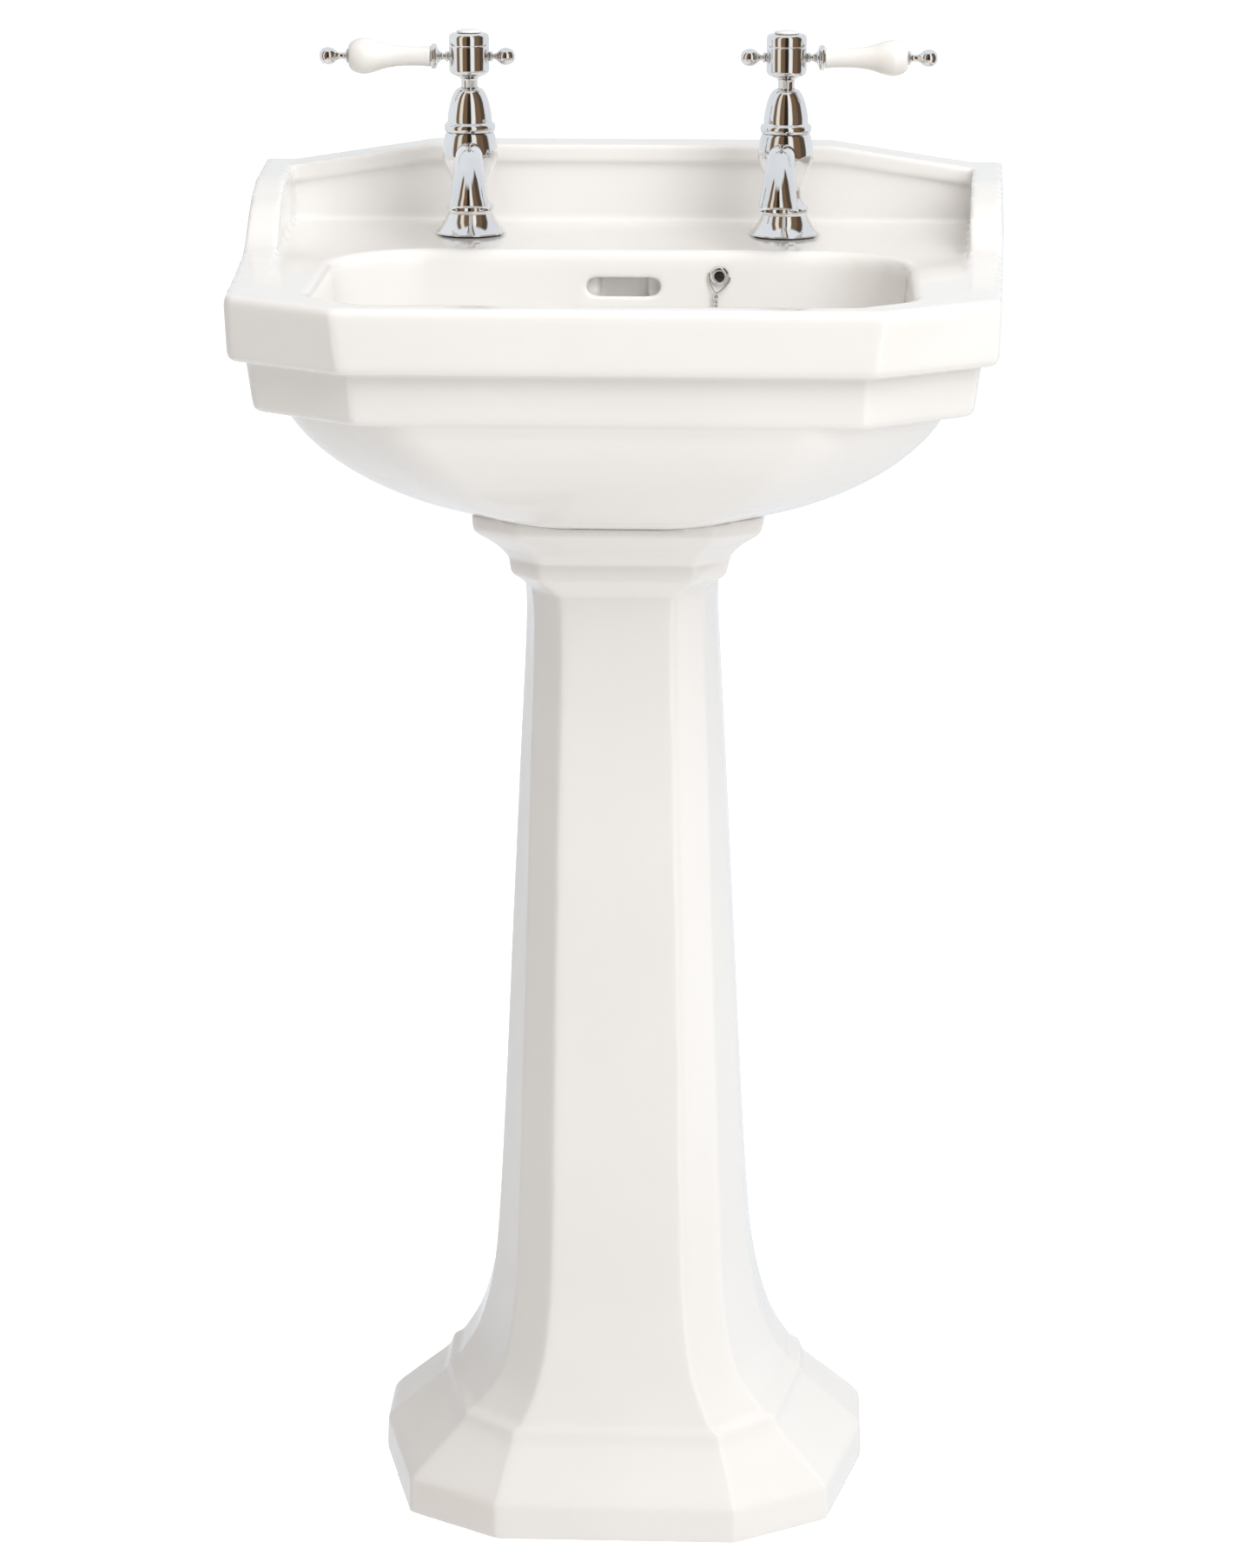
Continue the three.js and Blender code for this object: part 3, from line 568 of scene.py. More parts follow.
def make_basin():
    chute = [(30, 860), (57, 860), (57, 762), (47, 736), (30, 705), (14, PAD_Z), (-10, PAD_Z),
             (-10, 714), (10, 722), (25, 770)]
    basin = mesh_object("basin_china", skirt_bands()[0])
    at_waste = shift(WASTE_X, WASTE_Y)
    added = [skirt_bands()[1], belly_body(), box(-160, 160, WALL - 14, WALL, 742, 850),
             moved(rod(34, PAD_Z, PAD_Z + 12), at_waste), slab_x(chute, -24, 24)]
    removed = [bowl_hollow(), box(-214, 214, 57, WALL - 14, 700, DECK_Z - DECK_THICK), *overflow_tools(),
               moved(rod(22.5, PAD_Z - 8, PAD_Z + 32), at_waste),
               moved(rod(33, BOWL_FLOOR - 4, BOWL_FLOOR + 24, 64), at_waste),
               moved(rod(3.2, 0, 45), shift(STAY_X, 15, STAY_Z) @ ALONG_Y)]
    for side in (-1, 1):
        removed.append(moved(rod(14.5, DECK_Z - 23, DECK_Z + 7), shift(side * TAP_X, TAP_Y)))
        removed.append(moved(rod(7, -30, 30), shift(side * 120, WALL, 790) @ ALONG_Y))
    carve(basin, added, removed)
    raised = raised_back()
    shape = bmesh.new()
    shape.from_mesh(basin.data)
    shape.from_mesh(raised.data)
    shape.to_mesh(basin.data)
    shape.free()
    bpy.data.meshes.remove(raised.data)
    glaze(basin, 8)
    dress(basin, CHINA, "china", "root", "basin")


# ---------------------------------------------------------------- pedestal

# Levels of the pedestal in runs that are smooth in height, as (z, front, facet half width,
# chamfer half width, chamfer y, side half width, side y, back y).
PEDESTAL_RUNS = linked((0, -109, 83, 146, -70, 171.5, 34, 90),
                       [(25, -109, 83, 145, -70, 170.5, 34, 90)],
                       [(30, -106, 81.5, 141, -68, 166.5, 35, 90)],
                       [(44, -96.5, 78, 128, -61.5, 150, 37, 88),
                        (58, -88, 73.5, 114, -55, 133, 38, 86)],
                       [(62, -86, 73, 111, -53, 129, 38, 85),
                        (70, -84.5, 71.5, 107.5, -52, 126, 38, 85)],
                       [(74, -82, 66, 100, -50, 119, 36, 84)],
                       [(96, -78, 57, 84, -47, 106, 30, 82), (120, -75, 51, 77, -45, 98, 24, 80),
                        (155, -72, 47, 72, -44, 91, 17, 78),
                        (205, -70.5, 45, 69.5, -43, 86.5, 12, 76),
                        (300, -69, 43.3, 66.5, -42, 81, 9, 75),
                        (410, -67, 41.5, 63, -41, 75.5, 5, 74),
                        (520, -65.5, 39.2, 59.8, -40.5, 69.8, 2, 73),
                        (640, -64, 37, 56.5, -40, 64, 0, 72), (660, -64.5, 38, 58, -41, 65, 0, 72)],
                       [(668, -69, 46, 66, -46, 70, 0, 73)],
                       [(672, -71, 51, 71, -49, 73.5, 0, 74), (679, -72, 52, 72, -50, 74.5, 0, 74),
                        (682, -71, 51, 72, -50, 76, 0, 75)],
                       [(691, -77, 54, 78, -58, 82, 0, 78), (699, -86, 60, 86, -68, 91, 0, 80),
                        (702, -89, 62, 90, -72, 95, 0, 81)], [(706, -92, 64, 94, -75, 98, 0, 82)],
                       [(718, -93, 64, 95, -76, 99, 0, 82)])


def pedestal_levels():
    """(height, corners) up the pedestal."""
    levels = [PEDESTAL_RUNS[0][0]]
    for run in PEDESTAL_RUNS:
        levels += curve(run, 8)[1:]
    for z, front, facet, chamfer, chamfer_y, side, side_y, back in levels:
        yield z, [(-facet, front, 5), (facet, front, 5), (chamfer, chamfer_y, 5), (side, side_y, 8),
                  (side, back, 3), (-side, back, 3), (-side, side_y, 8), (-chamfer, chamfer_y, 5)]


def make_pedestal():
    levels = list(pedestal_levels())
    outer = [ring(corners, 4, z) for z, corners in levels]
    inner = []
    for z, corners in levels[::3] + [levels[-1]]:
        walls = inset(corners, PED_WALL)
        walls[4:6] = [(x, PED_HIGH[1] + 20, radius) for x, _, radius in walls[4:6]]
        inner.append(ring(walls, 3, z))
    lowest, highest = inner[0], inner[-1]
    inner.insert(0, [(x, y, -6) for x, y, _ in lowest])
    inner.append([(x, y, PED_HIGH[2] + 20) for x, y, _ in highest])
    pedestal = mesh_object("pedestal_china", loft(outer))
    carve(pedestal, removed=[loft(inner)])
    bridge = mesh_object("bridge", box(-78, 78, 56, 68, 420, 455))
    lugs = [box(-165, -108, 20, 60, 0, 16), box(108, 165, 20, 60, 0, 16)]
    carve(bridge, added=lugs)
    keep_within(bridge, loft(outer))
    shape = bmesh.new()
    shape.from_mesh(bridge.data)
    fittings = ([tuple(v.co / MM) for v in shape.verts],
                [tuple(v.index for v in f.verts) for f in shape.faces])
    shape.free()
    bpy.data.meshes.remove(bridge.data)
    holes = [moved(rod(4, -5, 30), shift(side * 122, 42)) for side in (-1, 1)]
    carve(pedestal, added=[fittings], removed=[belly_body(SEAM), *holes])
    glaze(pedestal, 8)
    dress(pedestal, CHINA, "china", "root", "pedestal")


# ---------------------------------------------------------------- taps

def thread(radius, low, high, pitch=1.8):
    """Profile points of a screw thread, cut as rings, from low to high."""
    turns = int((high - low) / pitch)
    points = []
    for k in range(turns):
        z = low + k * pitch
        points += linked((radius - 0.9, z), [(radius, z + pitch / 2)], [(radius - 0.9, z + pitch)])
    top = low + turns * pitch
    return [*points, [(radius - 0.9, top), (radius, top + 0.9)]], top + 0.9


def nut_object(name, flats, hole, low, high):
    """A hexagonal nut with chamfered corners about +Z."""
    reach = flats / math.sqrt(3)
    turns = [(i + 0.5) * math.pi / 3 for i in range(6)]
    outline = [(reach * math.cos(t), reach * math.sin(t)) for t in turns]
    hexagon = loft([[(x, y, z) for x, y in outline] for z in (low, high)])
    slope = (reach - flats / 2) * 0.7
    corners = lathe(linked((0, low), [(flats / 2, low)], [(reach + 0.2, low + slope)],
                           [(reach + 0.2, high - slope)], [(flats / 2, high)], [(0, high)]))
    nut = mesh_object(name, hexagon)
    keep_within(nut, corners)
    carve(nut, removed=[rod(hole, low - 1, high + 1)])
    return nut


def turned_piece(name, runs, matrix, material, slot, body, *nodes, sides=LATHE_SIDES, edge=0.25):
    """A lathe piece with small radii on its edges, put where matrix says."""
    obj = mesh_object(name, moved(lathe(runs, sides), matrix))
    crisp(obj, edge)
    return dress(obj, material, slot, body, *nodes)


# Tap profiles: (radius, height above the deck). Lever profiles: (radius, distance from the axis).
FOOT_RUNS = linked((10.4, 1.3), [(23.9, 1.3)], [(23.9, 2.3)],
                   [(22.5, 3.5), (20.4, 5.8), (18.3, 8.8), (16.6, 12), (15.3, 14.8)],
                   [(15.8, 15.8), (16, 17.4), (15.8, 19), (15.2, 20)],
                   [(13.2, 21.6), (11.6, 24.8), (11, 28.8), (11.3, 33), (13.1, 38.4), (15.4, 43.2),
                    (17.6, 48.6), (18.8, 54), (18.7, 58.6), (17.8, 64), (16.6, 68.4), (16.2, 69.2)],
                   [(0, 69.2)])
BONNET_RUNS = linked((12, 69.6), [(16, 69.6)], [(17, 70.6), (17.4, 72.6), (17, 74.6), (15.8, 75.8)],
                     [(15, 76.2)],
                     [(14.9, 80), (14.1, 85), (12.6, 91), (10.6, 95.6), (8.4, 98.4), (6.1, 99.3)],
                     [(6.1, 97.4)], [(9, 93), (11.6, 82), (12, 69.6)])
VALVE_RUNS = linked((3.6, 58.4), [(9.4, 58.4)], [(9.4, 69.6)], [(11.2, 69.6)], [(11.2, 76)],
                    [(7.4, 76)], [(7.4, 88)], [(3.6, 88)], [(3.6, 58.4)])
SPINDLE_RUNS = linked((0, 60), [(3.2, 60)], [(3.2, 117)], [(0, 117)])
HUB_RUNS = linked((3.5, 95), [(5.2, 95)], [(5.6, 95.5)], [(5.6, 104)],
                  [(6.3, 105.6), (8.4, 106.8), (11.2, 108), (12.8, 109.2), (13.5, 110.6)],
                  [(13.6, 111.4)], [(13.6, 126.9)], [(13.3, 127.2)], [(13.3, 127.6)], [(13.6, 127.9)],
                  [(13.6, 132.4)], [(13.3, 134), (12.4, 135.2), (11.2, 135.7), (9.8, 135.8)],
                  [(0, 135.8)], [(0, 117.4)], [(3.5, 117.4)], [(3.5, 95)])
DISC_RUNS = linked((0, 136.1), [(8.4, 136.1)], [(8.4, 136.7), (7.8, 137.4), (5, 138.1), (0, 138.3)])
FERRULE_RUNS = linked((0, 6), [(2.7, 6)], [(2.7, 13.8)], [(3.5, 14.4), (3.5, 15.4), (2.3, 16.6)],
                      [(2.4, 17.8), (3.4, 19.6), (5.2, 21), (7.7, 21.9)],
                      [(8.4, 22.8), (8.5, 24.2), (7.9, 25.6)], [(2.6, 25.6)], [(2.6, 40)], [(0, 40)])
GRIP_RUNS = linked((2.9, 26), [(6.7, 26)],
                   [(7, 26.5), (6.7, 30), (6.5, 36), (6.6, 44), (7.2, 51), (8.8, 58.6), (10.9, 65),
                    (12, 70.4), (11.9, 73.4), (10.9, 77), (9.2, 79.8), (7.2, 81.2), (6, 81.4)],
                   [(2.9, 81.4)], [(2.9, 26)])
FINIAL_RUNS = linked((0, 60), [(2.6, 60)], [(2.6, 81.7)], [(4.6, 81.7)],
                     [(4.9, 82.2), (4.6, 83), (3, 83.7), (2.3, 85.4), (2.4, 87.6), (3.2, 89.8)],
                     [(3.9, 90.6), (5.3, 92.8), (5.75, 95.8), (5.1, 98.6), (3.6, 100.4), (1.8, 101.2),
                      (0, 101.4)])
KNOB_RUNS = linked((0, 6), [(2.7, 6)], [(2.7, 13.8)], [(3.5, 14.4), (3.5, 15.4), (2.1, 16.2)],
                   [(1.9, 17), (2.6, 18.6)],
                   [(3.6, 19.6), (5.2, 21.8), (5.8, 24.4), (5.3, 27.4), (4, 29.6), (2, 30.8), (0, 31)])
# The spout's middle line, its lip and its bore: (y, height above the deck, radius).
SPOUT = [(0, 51, 9), (-12, 53, 9.1), (-24, 55.6, 9.2), (-36, 57.4, 9.2), (-47, 57.4, 9.2), (-56, 55, 9.5),
         (-63, 50.4, 10), (-68.5, 44, 10.9), (-72.6, 37, 12), (-75, 31, 13.2), (-75.9, 28, 13.7)]
SPOUT_LIP = (-76.1, 27.2, 13.1)
SPOUT_BORE = [(-4, 51, 4.5), (-36, 57.2, 5), (-47, 57.1, 5.3), (-56, 54.6, 5.9), (-63, 50, 6.8),
              (-68.5, 43.6, 8), (-72.6, 36.6, 9.4), (-75, 30.6, 10.8), (-77, 23, 11.6)]
SPOUT_TURN = 3.5                            # degrees each spout points in towards the bowl


def make_tap_body(name, side, at_tap):
    threaded, top = thread(10.4, -50, -20)
    tail = [[(0, -50), (9.5, -50)], *threaded, [(10.4, top), (10.4, 1.3)]]
    body = mesh_object(f"{name}_tap_casting", moved(lathe([*tail, *FOOT_RUNS], 96), at_tap))
    at_spout = at_tap @ Matrix.Rotation(math.radians(-side * SPOUT_TURN), 4, "Z")
    path = curve([(0, y, z, radius) for y, z, radius in SPOUT], 1.2)
    path.append((0, *SPOUT_LIP))
    bore = curve([(0, y, z, radius) for y, z, radius in SPOUT_BORE], 2.5)
    carve(body, added=[moved(tube(path, 64), at_spout)],
          removed=[moved(tube(bore), at_spout), moved(rod(6.4, -55, 58), at_tap),
                   moved(rod(9.8, 58, 75), at_tap)])
    shade(body, 32)
    dress(body, CHROME, "chrome", "root", f"{name}_tap_body")


def make_tap(name, side):
    """A pillar tap whose lever points out to its side: -1 to the left, +1 to the right."""
    at_tap = shift(side * TAP_X, TAP_Y, DECK_Z)
    make_tap_body(name, side, at_tap)
    seal = linked((11, GAP), [(20, GAP)], [(20.3, 0.65), (20, 1)], [(11, 1)], [(11, GAP)])
    turned_piece(f"{name}_seal_ring", seal, at_tap, RUBBER, "rubber", "root", f"{name}_foot_seal",
                 edge=0.1)
    washer_top, washer_low = -DECK_THICK - GAP, -DECK_THICK - 3.5
    washer = square_ring(11, 20, washer_low, washer_top)
    turned_piece(f"{name}_top_hat_washer", washer, at_tap, WHITE, "white_plastic", "root",
                 f"{name}_tap_washer")
    nut = nut_object(f"{name}_hex_nut", 30, 10.7, -DECK_THICK - 12.5, -DECK_THICK - 4)
    nut.data.transform(Matrix.Translation(at_tap.translation * MM))
    crisp(nut)
    dress(nut, BRASS, "brass", "root", f"{name}_back_nut")
    turned_piece(f"{name}_bonnet_shroud", BONNET_RUNS, at_tap, CHROME, "chrome", "root",
                 f"{name}_bonnet")
    turned_piece(f"{name}_headwork", VALVE_RUNS, at_tap, BRASS, "brass", "root", f"{name}_valve")

    body = f"{name}_handle"
    at_lever = shift(side * TAP_X, TAP_Y, LEVER_Z)
    outward = at_lever @ Matrix.Rotation(side * math.pi / 2, 4, "Y")
    inward = at_lever @ Matrix.Rotation(-side * math.pi / 2, 4, "Y")
    turned_piece(f"{name}_stem", SPINDLE_RUNS, at_tap, BRASS, "brass", body, f"{name}_spindle")
    hub = mesh_object(f"{name}_hub", moved(lathe(HUB_RUNS, 96), at_tap))
    crisp(hub, 0.2)
    carve(hub, removed=[moved(rod(3, -20, 20), outward)])
    shade(hub, 32)
    dress(hub, CHROME, "chrome", body, f"{name}_handle_hub")
    for part, runs, place, material, slot, node in (
            ("button", DISC_RUNS, at_tap, PORCELAIN, "porcelain", "index_disc"),
            ("ferrule", FERRULE_RUNS, outward, CHROME, "chrome", "lever_ferrule"),
            ("grip", GRIP_RUNS, outward, PORCELAIN, "porcelain", "lever_grip"),
            ("finial", FINIAL_RUNS, outward, CHROME, "chrome", "lever_finial"),
            ("knob", KNOB_RUNS, inward, CHROME, "chrome", "counter_knob")):
        turned_piece(f"{name}_{part}", runs, place, material, slot, body, f"{name}_{node}", edge=0.2)


# ---------------------------------------------------------------- waste, plug and chain

def make_waste():
    at_waste = shift(WASTE_X, WASTE_Y)
    seat = BOWL_FLOOR
    threaded, top = thread(20.6, seat - 74, seat - 20)
    waste = mesh_object("waste_fitting", moved(lathe([
        [(16.5, seat - 76), (20, seat - 76)], [(20, seat - 76), (19.7, seat - 74)], *threaded,
        [(20.6, top), (20.6, seat - 2.4)], [(20.6, seat - 2.4), (32, seat - 2.4)],
        [(32, seat - 2.4), (32, seat - 1), (31, seat - 0.5), (27, seat + 0.2)],
        [(27, seat + 0.2), (22.4, seat), (20.6, seat - 1), (18, seat - 8)],
        [(18, seat - 8), (16.5, seat - 10)], [(16.5, seat - 10), (16.5, seat - 76)]], 96), at_waste))
    carve(waste, removed=[moved(box(-5, 5, -30, 30, seat - 13.5, seat - 7), at_waste)])
    shade(waste)
    dress(waste, CHROME, "chrome", "root", "waste_body")
    seal = square_ring(21, 31.5, seat - 3.7, seat - 2.7)
    turned_piece("waste_gasket", seal, at_waste, RUBBER, "rubber", "root", "waste_flange_seal", edge=0.1)
    low, high = PAD_Z - 5, PAD_Z - GAP
    washer = square_ring(21, 31, low, high)
    turned_piece("waste_under_washer", washer, at_waste, RUBBER, "rubber", "root", "waste_washer")
    nut = nut_object("waste_hex_nut", 52, 20.9, PAD_Z - 15, PAD_Z - 5.4)
    nut.data.transform(Matrix.Translation((WASTE_X * MM, WASTE_Y * MM, 0)))
    crisp(nut, 0.4)
    dress(nut, BRASS, "brass", "root", "waste_back_nut")

    stopper = linked((0, seat - 9.5), [(17, seat - 6.5)], [(19.4, seat - 0.6)],
                     [(20.8, seat + 0.8), (21, seat + 1.6), (20.8, seat + 2.4)], [(0, seat + 2.4)])
    turned_piece("plug_rubber", stopper, at_waste, RUBBER, "rubber", "plug", "plug_stopper")
    cap = linked((0, seat + 2.7), [(20, seat + 2.7)], [(20, seat + 3.5)],
                 [(17, seat + 4.2), (11, seat + 5.4), (0, seat + 6)])
    turned_piece("plug_dome", cap, at_waste, CHROME, "chrome", "plug", "plug_cap")
    turns = [2 * math.pi * k / 48 for k in range(49)]
    loop = tube([(3.4 * math.cos(t), 0, 3.4 * math.sin(t), 0.9) for t in turns], 16)
    eyelet = mesh_object("plug_loop", moved(loop, shift(WASTE_X, WASTE_Y, seat + 10.6)))
    shade(eyelet, 60)
    dress(eyelet, CHROME, "chrome", "plug", "plug_eyelet")


# The chain's route down the bowl's back wall, over its floor and up to the plug.
CHAIN_ROUTE = [(61.6, 28.9, 840.6), (61.5, 28.8, 832), (61.2, 28.4, 820), (60.6, 27.4, 806),
               (59.8, 25.5, 790), (58.8, 22.6, 773), (57.6, 17.9, 757), (56.4, 11.6, 740.1),
               (55.8, 3.9, 729.2), (56, -6, 721.9), (58.5, -18, 721.1), (63.5, -29, 721.5),
               (69, -39.5, 722.3), (72, -51, 722.8), (70, -62.5, 722.5), (62.5, -71.5, 721.9),
               (51.5, -75, 721.5), (40.5, -71.5, 721), (33.5, -62.5, 720.1), (31.5, -51.5, 719.4),
               (32.5, -40.5, 719.3), (29, -30.5, 720.6), (21.5, -23, 725.5), (12.5, -20.2, 727.6),
               (4.9, -20, 726.8)]
BEAD_R = 1.6
BEAD_PITCH = 4.1


def evenly(points, pitch):
    """Points one pitch apart along a line, ends included."""
    places = [Vector(p) for p in points]
    length = sum((b - a).length for a, b in zip(places, places[1:]))
    count = round(length / pitch)
    spaced, run, wanted = [places[0]], 0.0, length / count
    for a, b in zip(places, places[1:]):
        step = (b - a).length
        while run + step >= wanted - 1e-6 and len(spaced) < count:
            spaced.append(a.lerp(b, (wanted - run) / step))
            wanted += length / count
        run += step
    return [*spaced, places[-1]], length


def bead(centre):
    turns = [math.pi * k / 8 for k in range(9)]
    half_circle = [(BEAD_R * math.sin(t), -BEAD_R * math.cos(t)) for t in turns]
    half_circle[0], half_circle[-1] = (0, -BEAD_R), (0, BEAD_R)
    ball = lathe([[a, b] for a, b in zip(half_circle, half_circle[1:])], 14)
    return moved(ball, Matrix.Translation(centre))


def make_chain():
    line = curve(CHAIN_ROUTE, 0.8)
    beads, length = evenly(line, BEAD_PITCH)
    inner = [beads[0].lerp(beads[1], BEAD_R / BEAD_PITCH), *beads[1:-1],
             beads[-1].lerp(beads[-2], BEAD_R / BEAD_PITCH)]
    wires = [tube([(*a, 0.45), (*b, 0.45)], 8) for a, b in zip(inner, inner[1:])]
    chain = mesh_object("ball_chain", *[bead(p) for p in inner], *wires)
    shade(chain, 60)
    dress(chain, CHROME, "chrome", None, "bead_chain")
    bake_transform(chain)
    path = [[c * MM for c in point] for point in line]
    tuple(path[0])


def make_stay():
    """The stay on the bowl's back wall, the link that hangs on it, and the chain's first coupling."""
    at_stay = shift(STAY_X, STAY_WALL_Y, STAY_Z) @ TO_FRONT
    threaded, top = thread(2.6, -33, -12, 0.9)
    stay = [[(0, -33), (1.7, -33)], *threaded, [(2.6, top), (2.6, GAP)], [(2.6, GAP), (6.5, GAP)],
            [(6.5, GAP), (6.6, 0.8), (6.4, 1.8), (5.5, 2.9), (4.4, 3.4), (3.5, 3.3)],
            [(3.5, 3.3), (3.2, 3)], [(3.2, 3), (3.2, 2.2)], [(3.2, 2.2), (0, 2.2)]]
    turned_piece("stay_button", stay, at_stay, CHROME, "chrome", "root", "chain_stay", edge=0.1)
    insert = linked((0, 2.5), [(2.9, 2.5)], [(2.9, 3.3), (2.4, 3.7), (0, 3.9)])
    turned_piece("stay_plug", insert, at_stay, BLACK, "black_plastic", "root", "stay_insert", edge=0.1)
    nut = nut_object("stay_hex_nut", 10, 2.9, -31, -27)
    nut.data.transform(Matrix.Translation(at_stay.translation * MM) @ TO_FRONT)
    crisp(nut, 0.15)
    dress(nut, BRASS, "brass", "root", "stay_nut")
    legs = [(7.3, 0.4, 1, 0.55), (7, -2.6, 1.3, 0.55), (2.6, -9.6, 2.4, 0.55), (0, -11.4, 2.6, 0.55),
            (-2.6, -9.6, 2.4, 0.55), (-7, -2.6, 1.3, 0.55), (-7.3, 0.4, 1, 0.55)]
    at_link = at_stay @ Matrix.Rotation(-0.2, 4, "Z")
    link = mesh_object("wire_link", moved(tube(curve(legs, 0.4), 14), at_link))
    shade(link, 60)
    dress(link, CHROME, "chrome", "root", "stay_link")
    coupling = linked((0, -4.4), [(1.2, -4.4)], [(1.8, -3.6), (1.9, -2.8), (1.5, -1.4), (0.8, -0.4)],
                      [(0, -0.3)])
    at_coupling = shift(STAY_X - 2.4, STAY_WALL_Y - 2.7, STAY_Z - 11.6)
    turned_piece("bell_coupling", coupling, at_coupling, CHROME, "chrome", "root", "chain_coupling",
                 sides=32, edge=0.08)


# ---------------------------------------------------------------- trap

def make_trap():
    at_waste = shift(WASTE_X, WASTE_Y)
    to_wall = shift(WASTE_X, WASTE_Y, SOCKET_Z) @ ALONG_Y
    low = SOCKET_Z
    inlet = linked((21.6, low + 36), [(26, low + 36)], [(26, low + 56)],
                   [(25.2, low + 57.4), (24, low + 58)], [(21.6, low + 58)], [(21.6, low + 36)])
    turned_piece("trap_collar", inlet, at_waste, CHROME, "chrome", "root", "trap_inlet_nut", edge=0.5)
    shell = linked((16, low - 48), [(18, low - 48)], [(18, low + 24)], [(27, low + 24)],
                   [(27, low - 38)], [(29.5, low - 38)], [(29.5, low + 24)],
                   [(28.6, low + 28), (25.4, low + 30.4), (20, low + 31.6)], [(16, low + 31.6)],
                   [(16, low - 48)])
    body = mesh_object("trap_casting", moved(lathe(shell, 96), at_waste))
    carve(body, added=[moved(rod(19, 28.2, 44), to_wall)], removed=[moved(rod(14, 19, 60), to_wall)])
    crisp(body, 0.3)
    dress(body, CHROME, "chrome", "root", "trap_body")
    cup = linked((0, low - 86), [(16, low - 86)],
                 [(22, low - 84.6), (27.4, low - 81), (30.4, low - 76), (31, low - 71)],
                 [(31, low - 52)], [(30.2, low - 51.2)], [(31, low - 50.4)], [(31, low - 38.4)],
                 [(29.6, low - 38.4)], [(27.4, low - 38.4)], [(27.4, low - 72)],
                 [(24, low - 78), (14, low - 80), (0, low - 80)])
    turned_piece("trap_bottle", cup, at_waste, CHROME, "chrome", "root", "trap_cup", edge=0.4)
    nut = linked((16.4, 44.3), [(23, 44.3)], [(23, 58)], [(22, 60.6), (19.6, 62)], [(16.4, 62)],
                 [(16.4, 44.3)])
    turned_piece("outlet_collar", nut, to_wall, CHROME, "chrome", "root", "trap_outlet_nut", edge=0.4)
    pipe = square_ring(13.6, 16, 44.6, 215)
    turned_piece("waste_pipe", pipe, to_wall, CHROME, "chrome", "root", "outlet_pipe", edge=0.3)


# ---------------------------------------------------------------- studio

def make_stage():
    """A wide pale floor."""
    size = 30.0
    mesh = bpy.data.meshes.new("floor")
    mesh.from_pydata([(-size, -size, 0), (size, -size, 0), (size, size, 0), (-size, size, 0)], [],
                     [(0, 1, 2, 3)])
    floor = bpy.data.objects.new("floor", mesh)
    bpy.context.scene.collection.objects.link(floor)
    material, tree, shader = blank("pale_floor")
    colours(tree, shader, noise(tree, 3), (0.8, 0.8, 0.8), (0.82, 0.82, 0.82))
    shader.inputs["Roughness"].default_value = 0.9
    shader.inputs["Specular IOR Level"].default_value = 0.1
    rays = tree.nodes.new("ShaderNodeLightPath")
    glow = tree.nodes.new("ShaderNodeMapRange")
    glow.inputs["To Min"].default_value, glow.inputs["To Max"].default_value = 0.2, 0.75
    tree.links.new(rays.outputs["Is Camera Ray"], glow.inputs["Value"])
    tree.links.new(glow.outputs["Result"], shader.inputs["Emission Strength"])
    shader.inputs["Emission Color"].default_value = (1, 1, 1, 1)
    floor.data.materials.append(material)
    floor.visible_glossy = False


def make_light(name, place, target, width, height, watts, colour=(1, 1, 1)):
    data = bpy.data.lights.new(name, "AREA")
    data.shape, data.size, data.size_y = "RECTANGLE", width, height
    data.energy, data.color = watts, colour
    light = bpy.data.objects.new(name, data)
    light.location = place
    light.rotation_mode = "QUATERNION"
    light.rotation_quaternion = (Vector(target) - Vector(place)).to_track_quat("-Z", "Y")
    light.visible_glossy = False
    bpy.context.scene.collection.objects.link(light)


def ramp_of(tree, value, *steps):
    """A colour ramp over a value, from (position, colour) steps."""
    ramp = tree.nodes.new("ShaderNodeValToRGB")
    elements = ramp.color_ramp.elements
    for element, (position, colour) in zip(elements, (steps[0], steps[-1])):
        element.position, element.color = position, (*colour, 1)
    for position, colour in steps[1:-1]:
        elements.new(position).color = (*colour, 1)
    tree.links.new(value, ramp.inputs["Fac"])
    return ramp.outputs["Color"]


def mapped(tree, value, low, high):
    """A value stretched from low..high to 0..1."""
    scale = tree.nodes.new("ShaderNodeMapRange")
    scale.inputs["From Min"].default_value, scale.inputs["From Max"].default_value = low, high
    tree.links.new(value, scale.inputs["Value"])
    return scale.outputs["Result"]


def blended(tree, kind, factor, first, second):
    """Two colours mixed; factor is a number or a node's output."""
    mix = tree.nodes.new("ShaderNodeMix")
    mix.data_type, mix.blend_type = "RGBA", kind
    if isinstance(factor, float):
        mix.inputs["Factor"].default_value = factor
    else:
        tree.links.new(factor, mix.inputs["Factor"])
    tree.links.new(first, mix.inputs["A"])
    tree.links.new(second, mix.inputs["B"])
    return mix.outputs["Result"]


PALE = (0.84, 0.87, 0.9)
CREAM = (0.9, 0.84, 0.74)
BROWN = (0.2, 0.125, 0.072)
DARK = (0.03, 0.022, 0.015)
WINDOW = (1.0, 1.0, 0.97)
DUSK = (0.1, 0.07, 0.05)
# What polished metal sees around it: (degrees to the right of the front, colour).
ROOM_SIDES = [(-180, PALE), (-74, PALE), (-67, BROWN), (-55, BROWN), (-49, CREAM), (-37, CREAM),
              (-31, BROWN), (-12, BROWN), (-6, DARK), (10, DARK), (15, WINDOW), (31, WINDOW),
              (37, BROWN), (62, BROWN), (70, DUSK), (90, DUSK), (98, PALE), (180, PALE)]
ROOM_LIGHT = 0.72                           # strength of the room's soft light


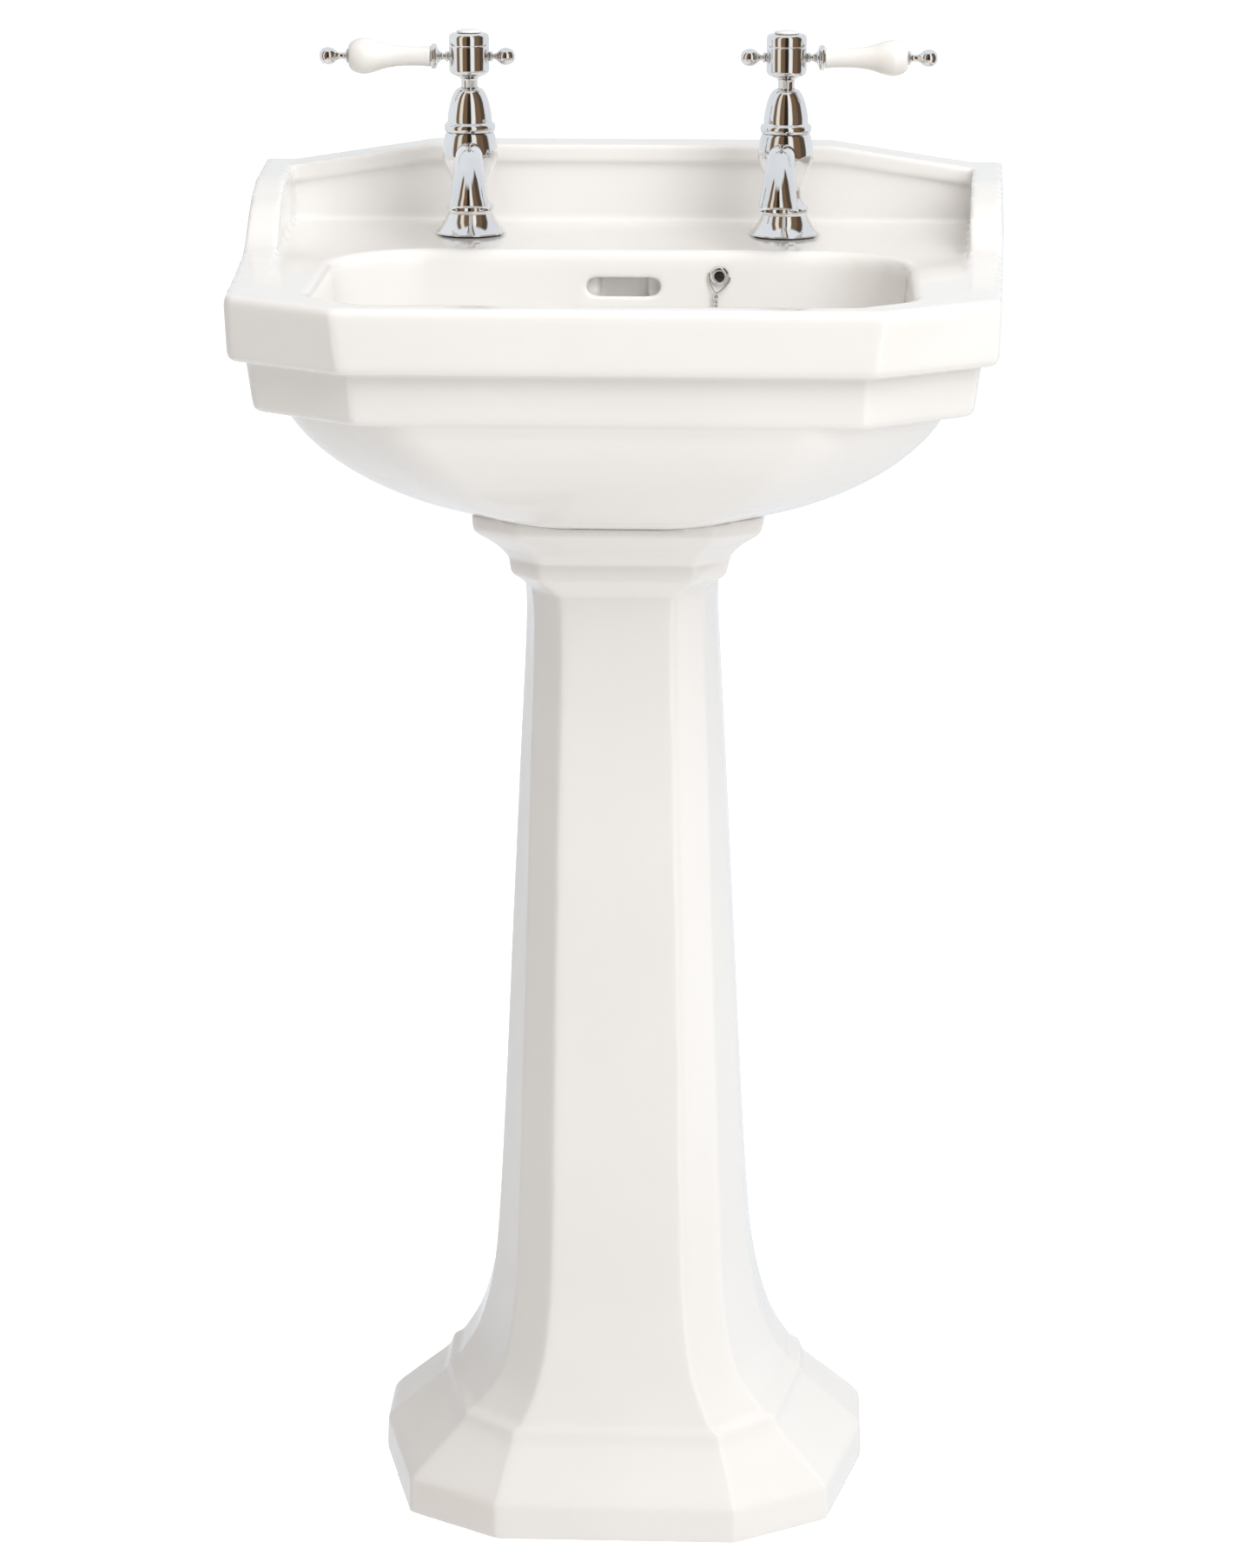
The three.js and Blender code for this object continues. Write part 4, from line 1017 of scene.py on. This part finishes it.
def reflected_room(tree, split):
    """A pale room with a dark front that holds a window and a paler strip."""
    front = tree.nodes.new("ShaderNodeMath")
    front.operation = "MULTIPLY"
    front.inputs[1].default_value = -1.0
    tree.links.new(split.outputs["Y"], front.inputs[0])
    turn = tree.nodes.new("ShaderNodeMath")
    turn.operation = "ARCTAN2"
    tree.links.new(split.outputs["X"], turn.inputs[0])
    tree.links.new(front.outputs["Value"], turn.inputs[1])
    around = ramp_of(tree, mapped(tree, turn.outputs["Value"], -math.pi, math.pi),
                     *[(0.5 + angle / 360, colour) for angle, colour in ROOM_SIDES])
    pale = ramp_of(tree, split.outputs["Z"], (0.0, PALE), (1.0, PALE))
    level = mapped(tree, split.outputs["Z"], -1.0, 1.0)
    wall = ramp_of(tree, level, (0.1, (0, 0, 0)), (0.14, (1, 1, 1)), (0.915, (1, 1, 1)),
                   (0.945, (0, 0, 0)))
    return blended(tree, "MIX", wall, pale, around)


def make_world():
    """Diffuse light comes from a room that is brighter to the right; reflections see the studio."""
    world = bpy.data.worlds.new("studio")
    world.use_nodes = True
    tree = world.node_tree
    tree.nodes.clear()
    place = tree.nodes.new("ShaderNodeTexCoord")
    split = tree.nodes.new("ShaderNodeSeparateXYZ")
    tree.links.new(place.outputs["Generated"], split.inputs["Vector"])
    height = ramp_of(tree, split.outputs["Z"], (0.0, (0.16, 0.12, 0.09)), (0.12, (0.22, 0.165, 0.12)),
                     (0.2, (0.9, 0.89, 0.87)), (1.0, (1, 1, 1)))
    side = ramp_of(tree, mapped(tree, split.outputs["X"], -1.0, 1.0), (0.0, (0.31, 0.24, 0.175)),
                   (0.35, (0.54, 0.475, 0.41)), (0.65, (0.92, 0.91, 0.89)), (1.0, (1, 1, 1)))
    rays = tree.nodes.new("ShaderNodeLightPath")
    output = tree.nodes.new("ShaderNodeOutputWorld")
    white = tree.nodes.new("ShaderNodeRGB")
    white.outputs["Color"].default_value = (1, 1, 1, 1)
    shown = None
    for colour, strength, kind in ((blended(tree, "MULTIPLY", 1.0, height, side), ROOM_LIGHT, None),
                                   (reflected_room(tree, split), 1.0, "Is Glossy Ray"),
                                   (white.outputs["Color"], 1.0, "Is Camera Ray")):
        light = tree.nodes.new("ShaderNodeBackground")
        light.inputs["Strength"].default_value = strength
        tree.links.new(colour, light.inputs["Color"])
        if kind is None:
            shown = light.outputs["Background"]
            continue
        mix = tree.nodes.new("ShaderNodeMixShader")
        tree.links.new(rays.outputs[kind], mix.inputs["Fac"])
        tree.links.new(shown, mix.inputs[1])
        tree.links.new(light.outputs["Background"], mix.inputs[2])
        shown = mix.outputs["Shader"]
    tree.links.new(shown, output.inputs["Surface"])
    bpy.context.scene.world = world
    bpy.context.scene.view_settings.view_transform = "Standard"


make_camera()
make_chain()
make_stay()
make_basin()
make_pedestal()
make_tap("hot", -1)
make_tap("cold", 1)
make_waste()
make_trap()

make_stage()
make_world()
make_light("key", (1.7, -2.4, 1.9), (0, 0, 0.6), 1.4, 2.0, 32.5, (1, 0.99, 0.985))
make_light("top", (0.5, -1.1, 2.7), (0, 0.1, 0.85), 2.2, 1.8, 34)
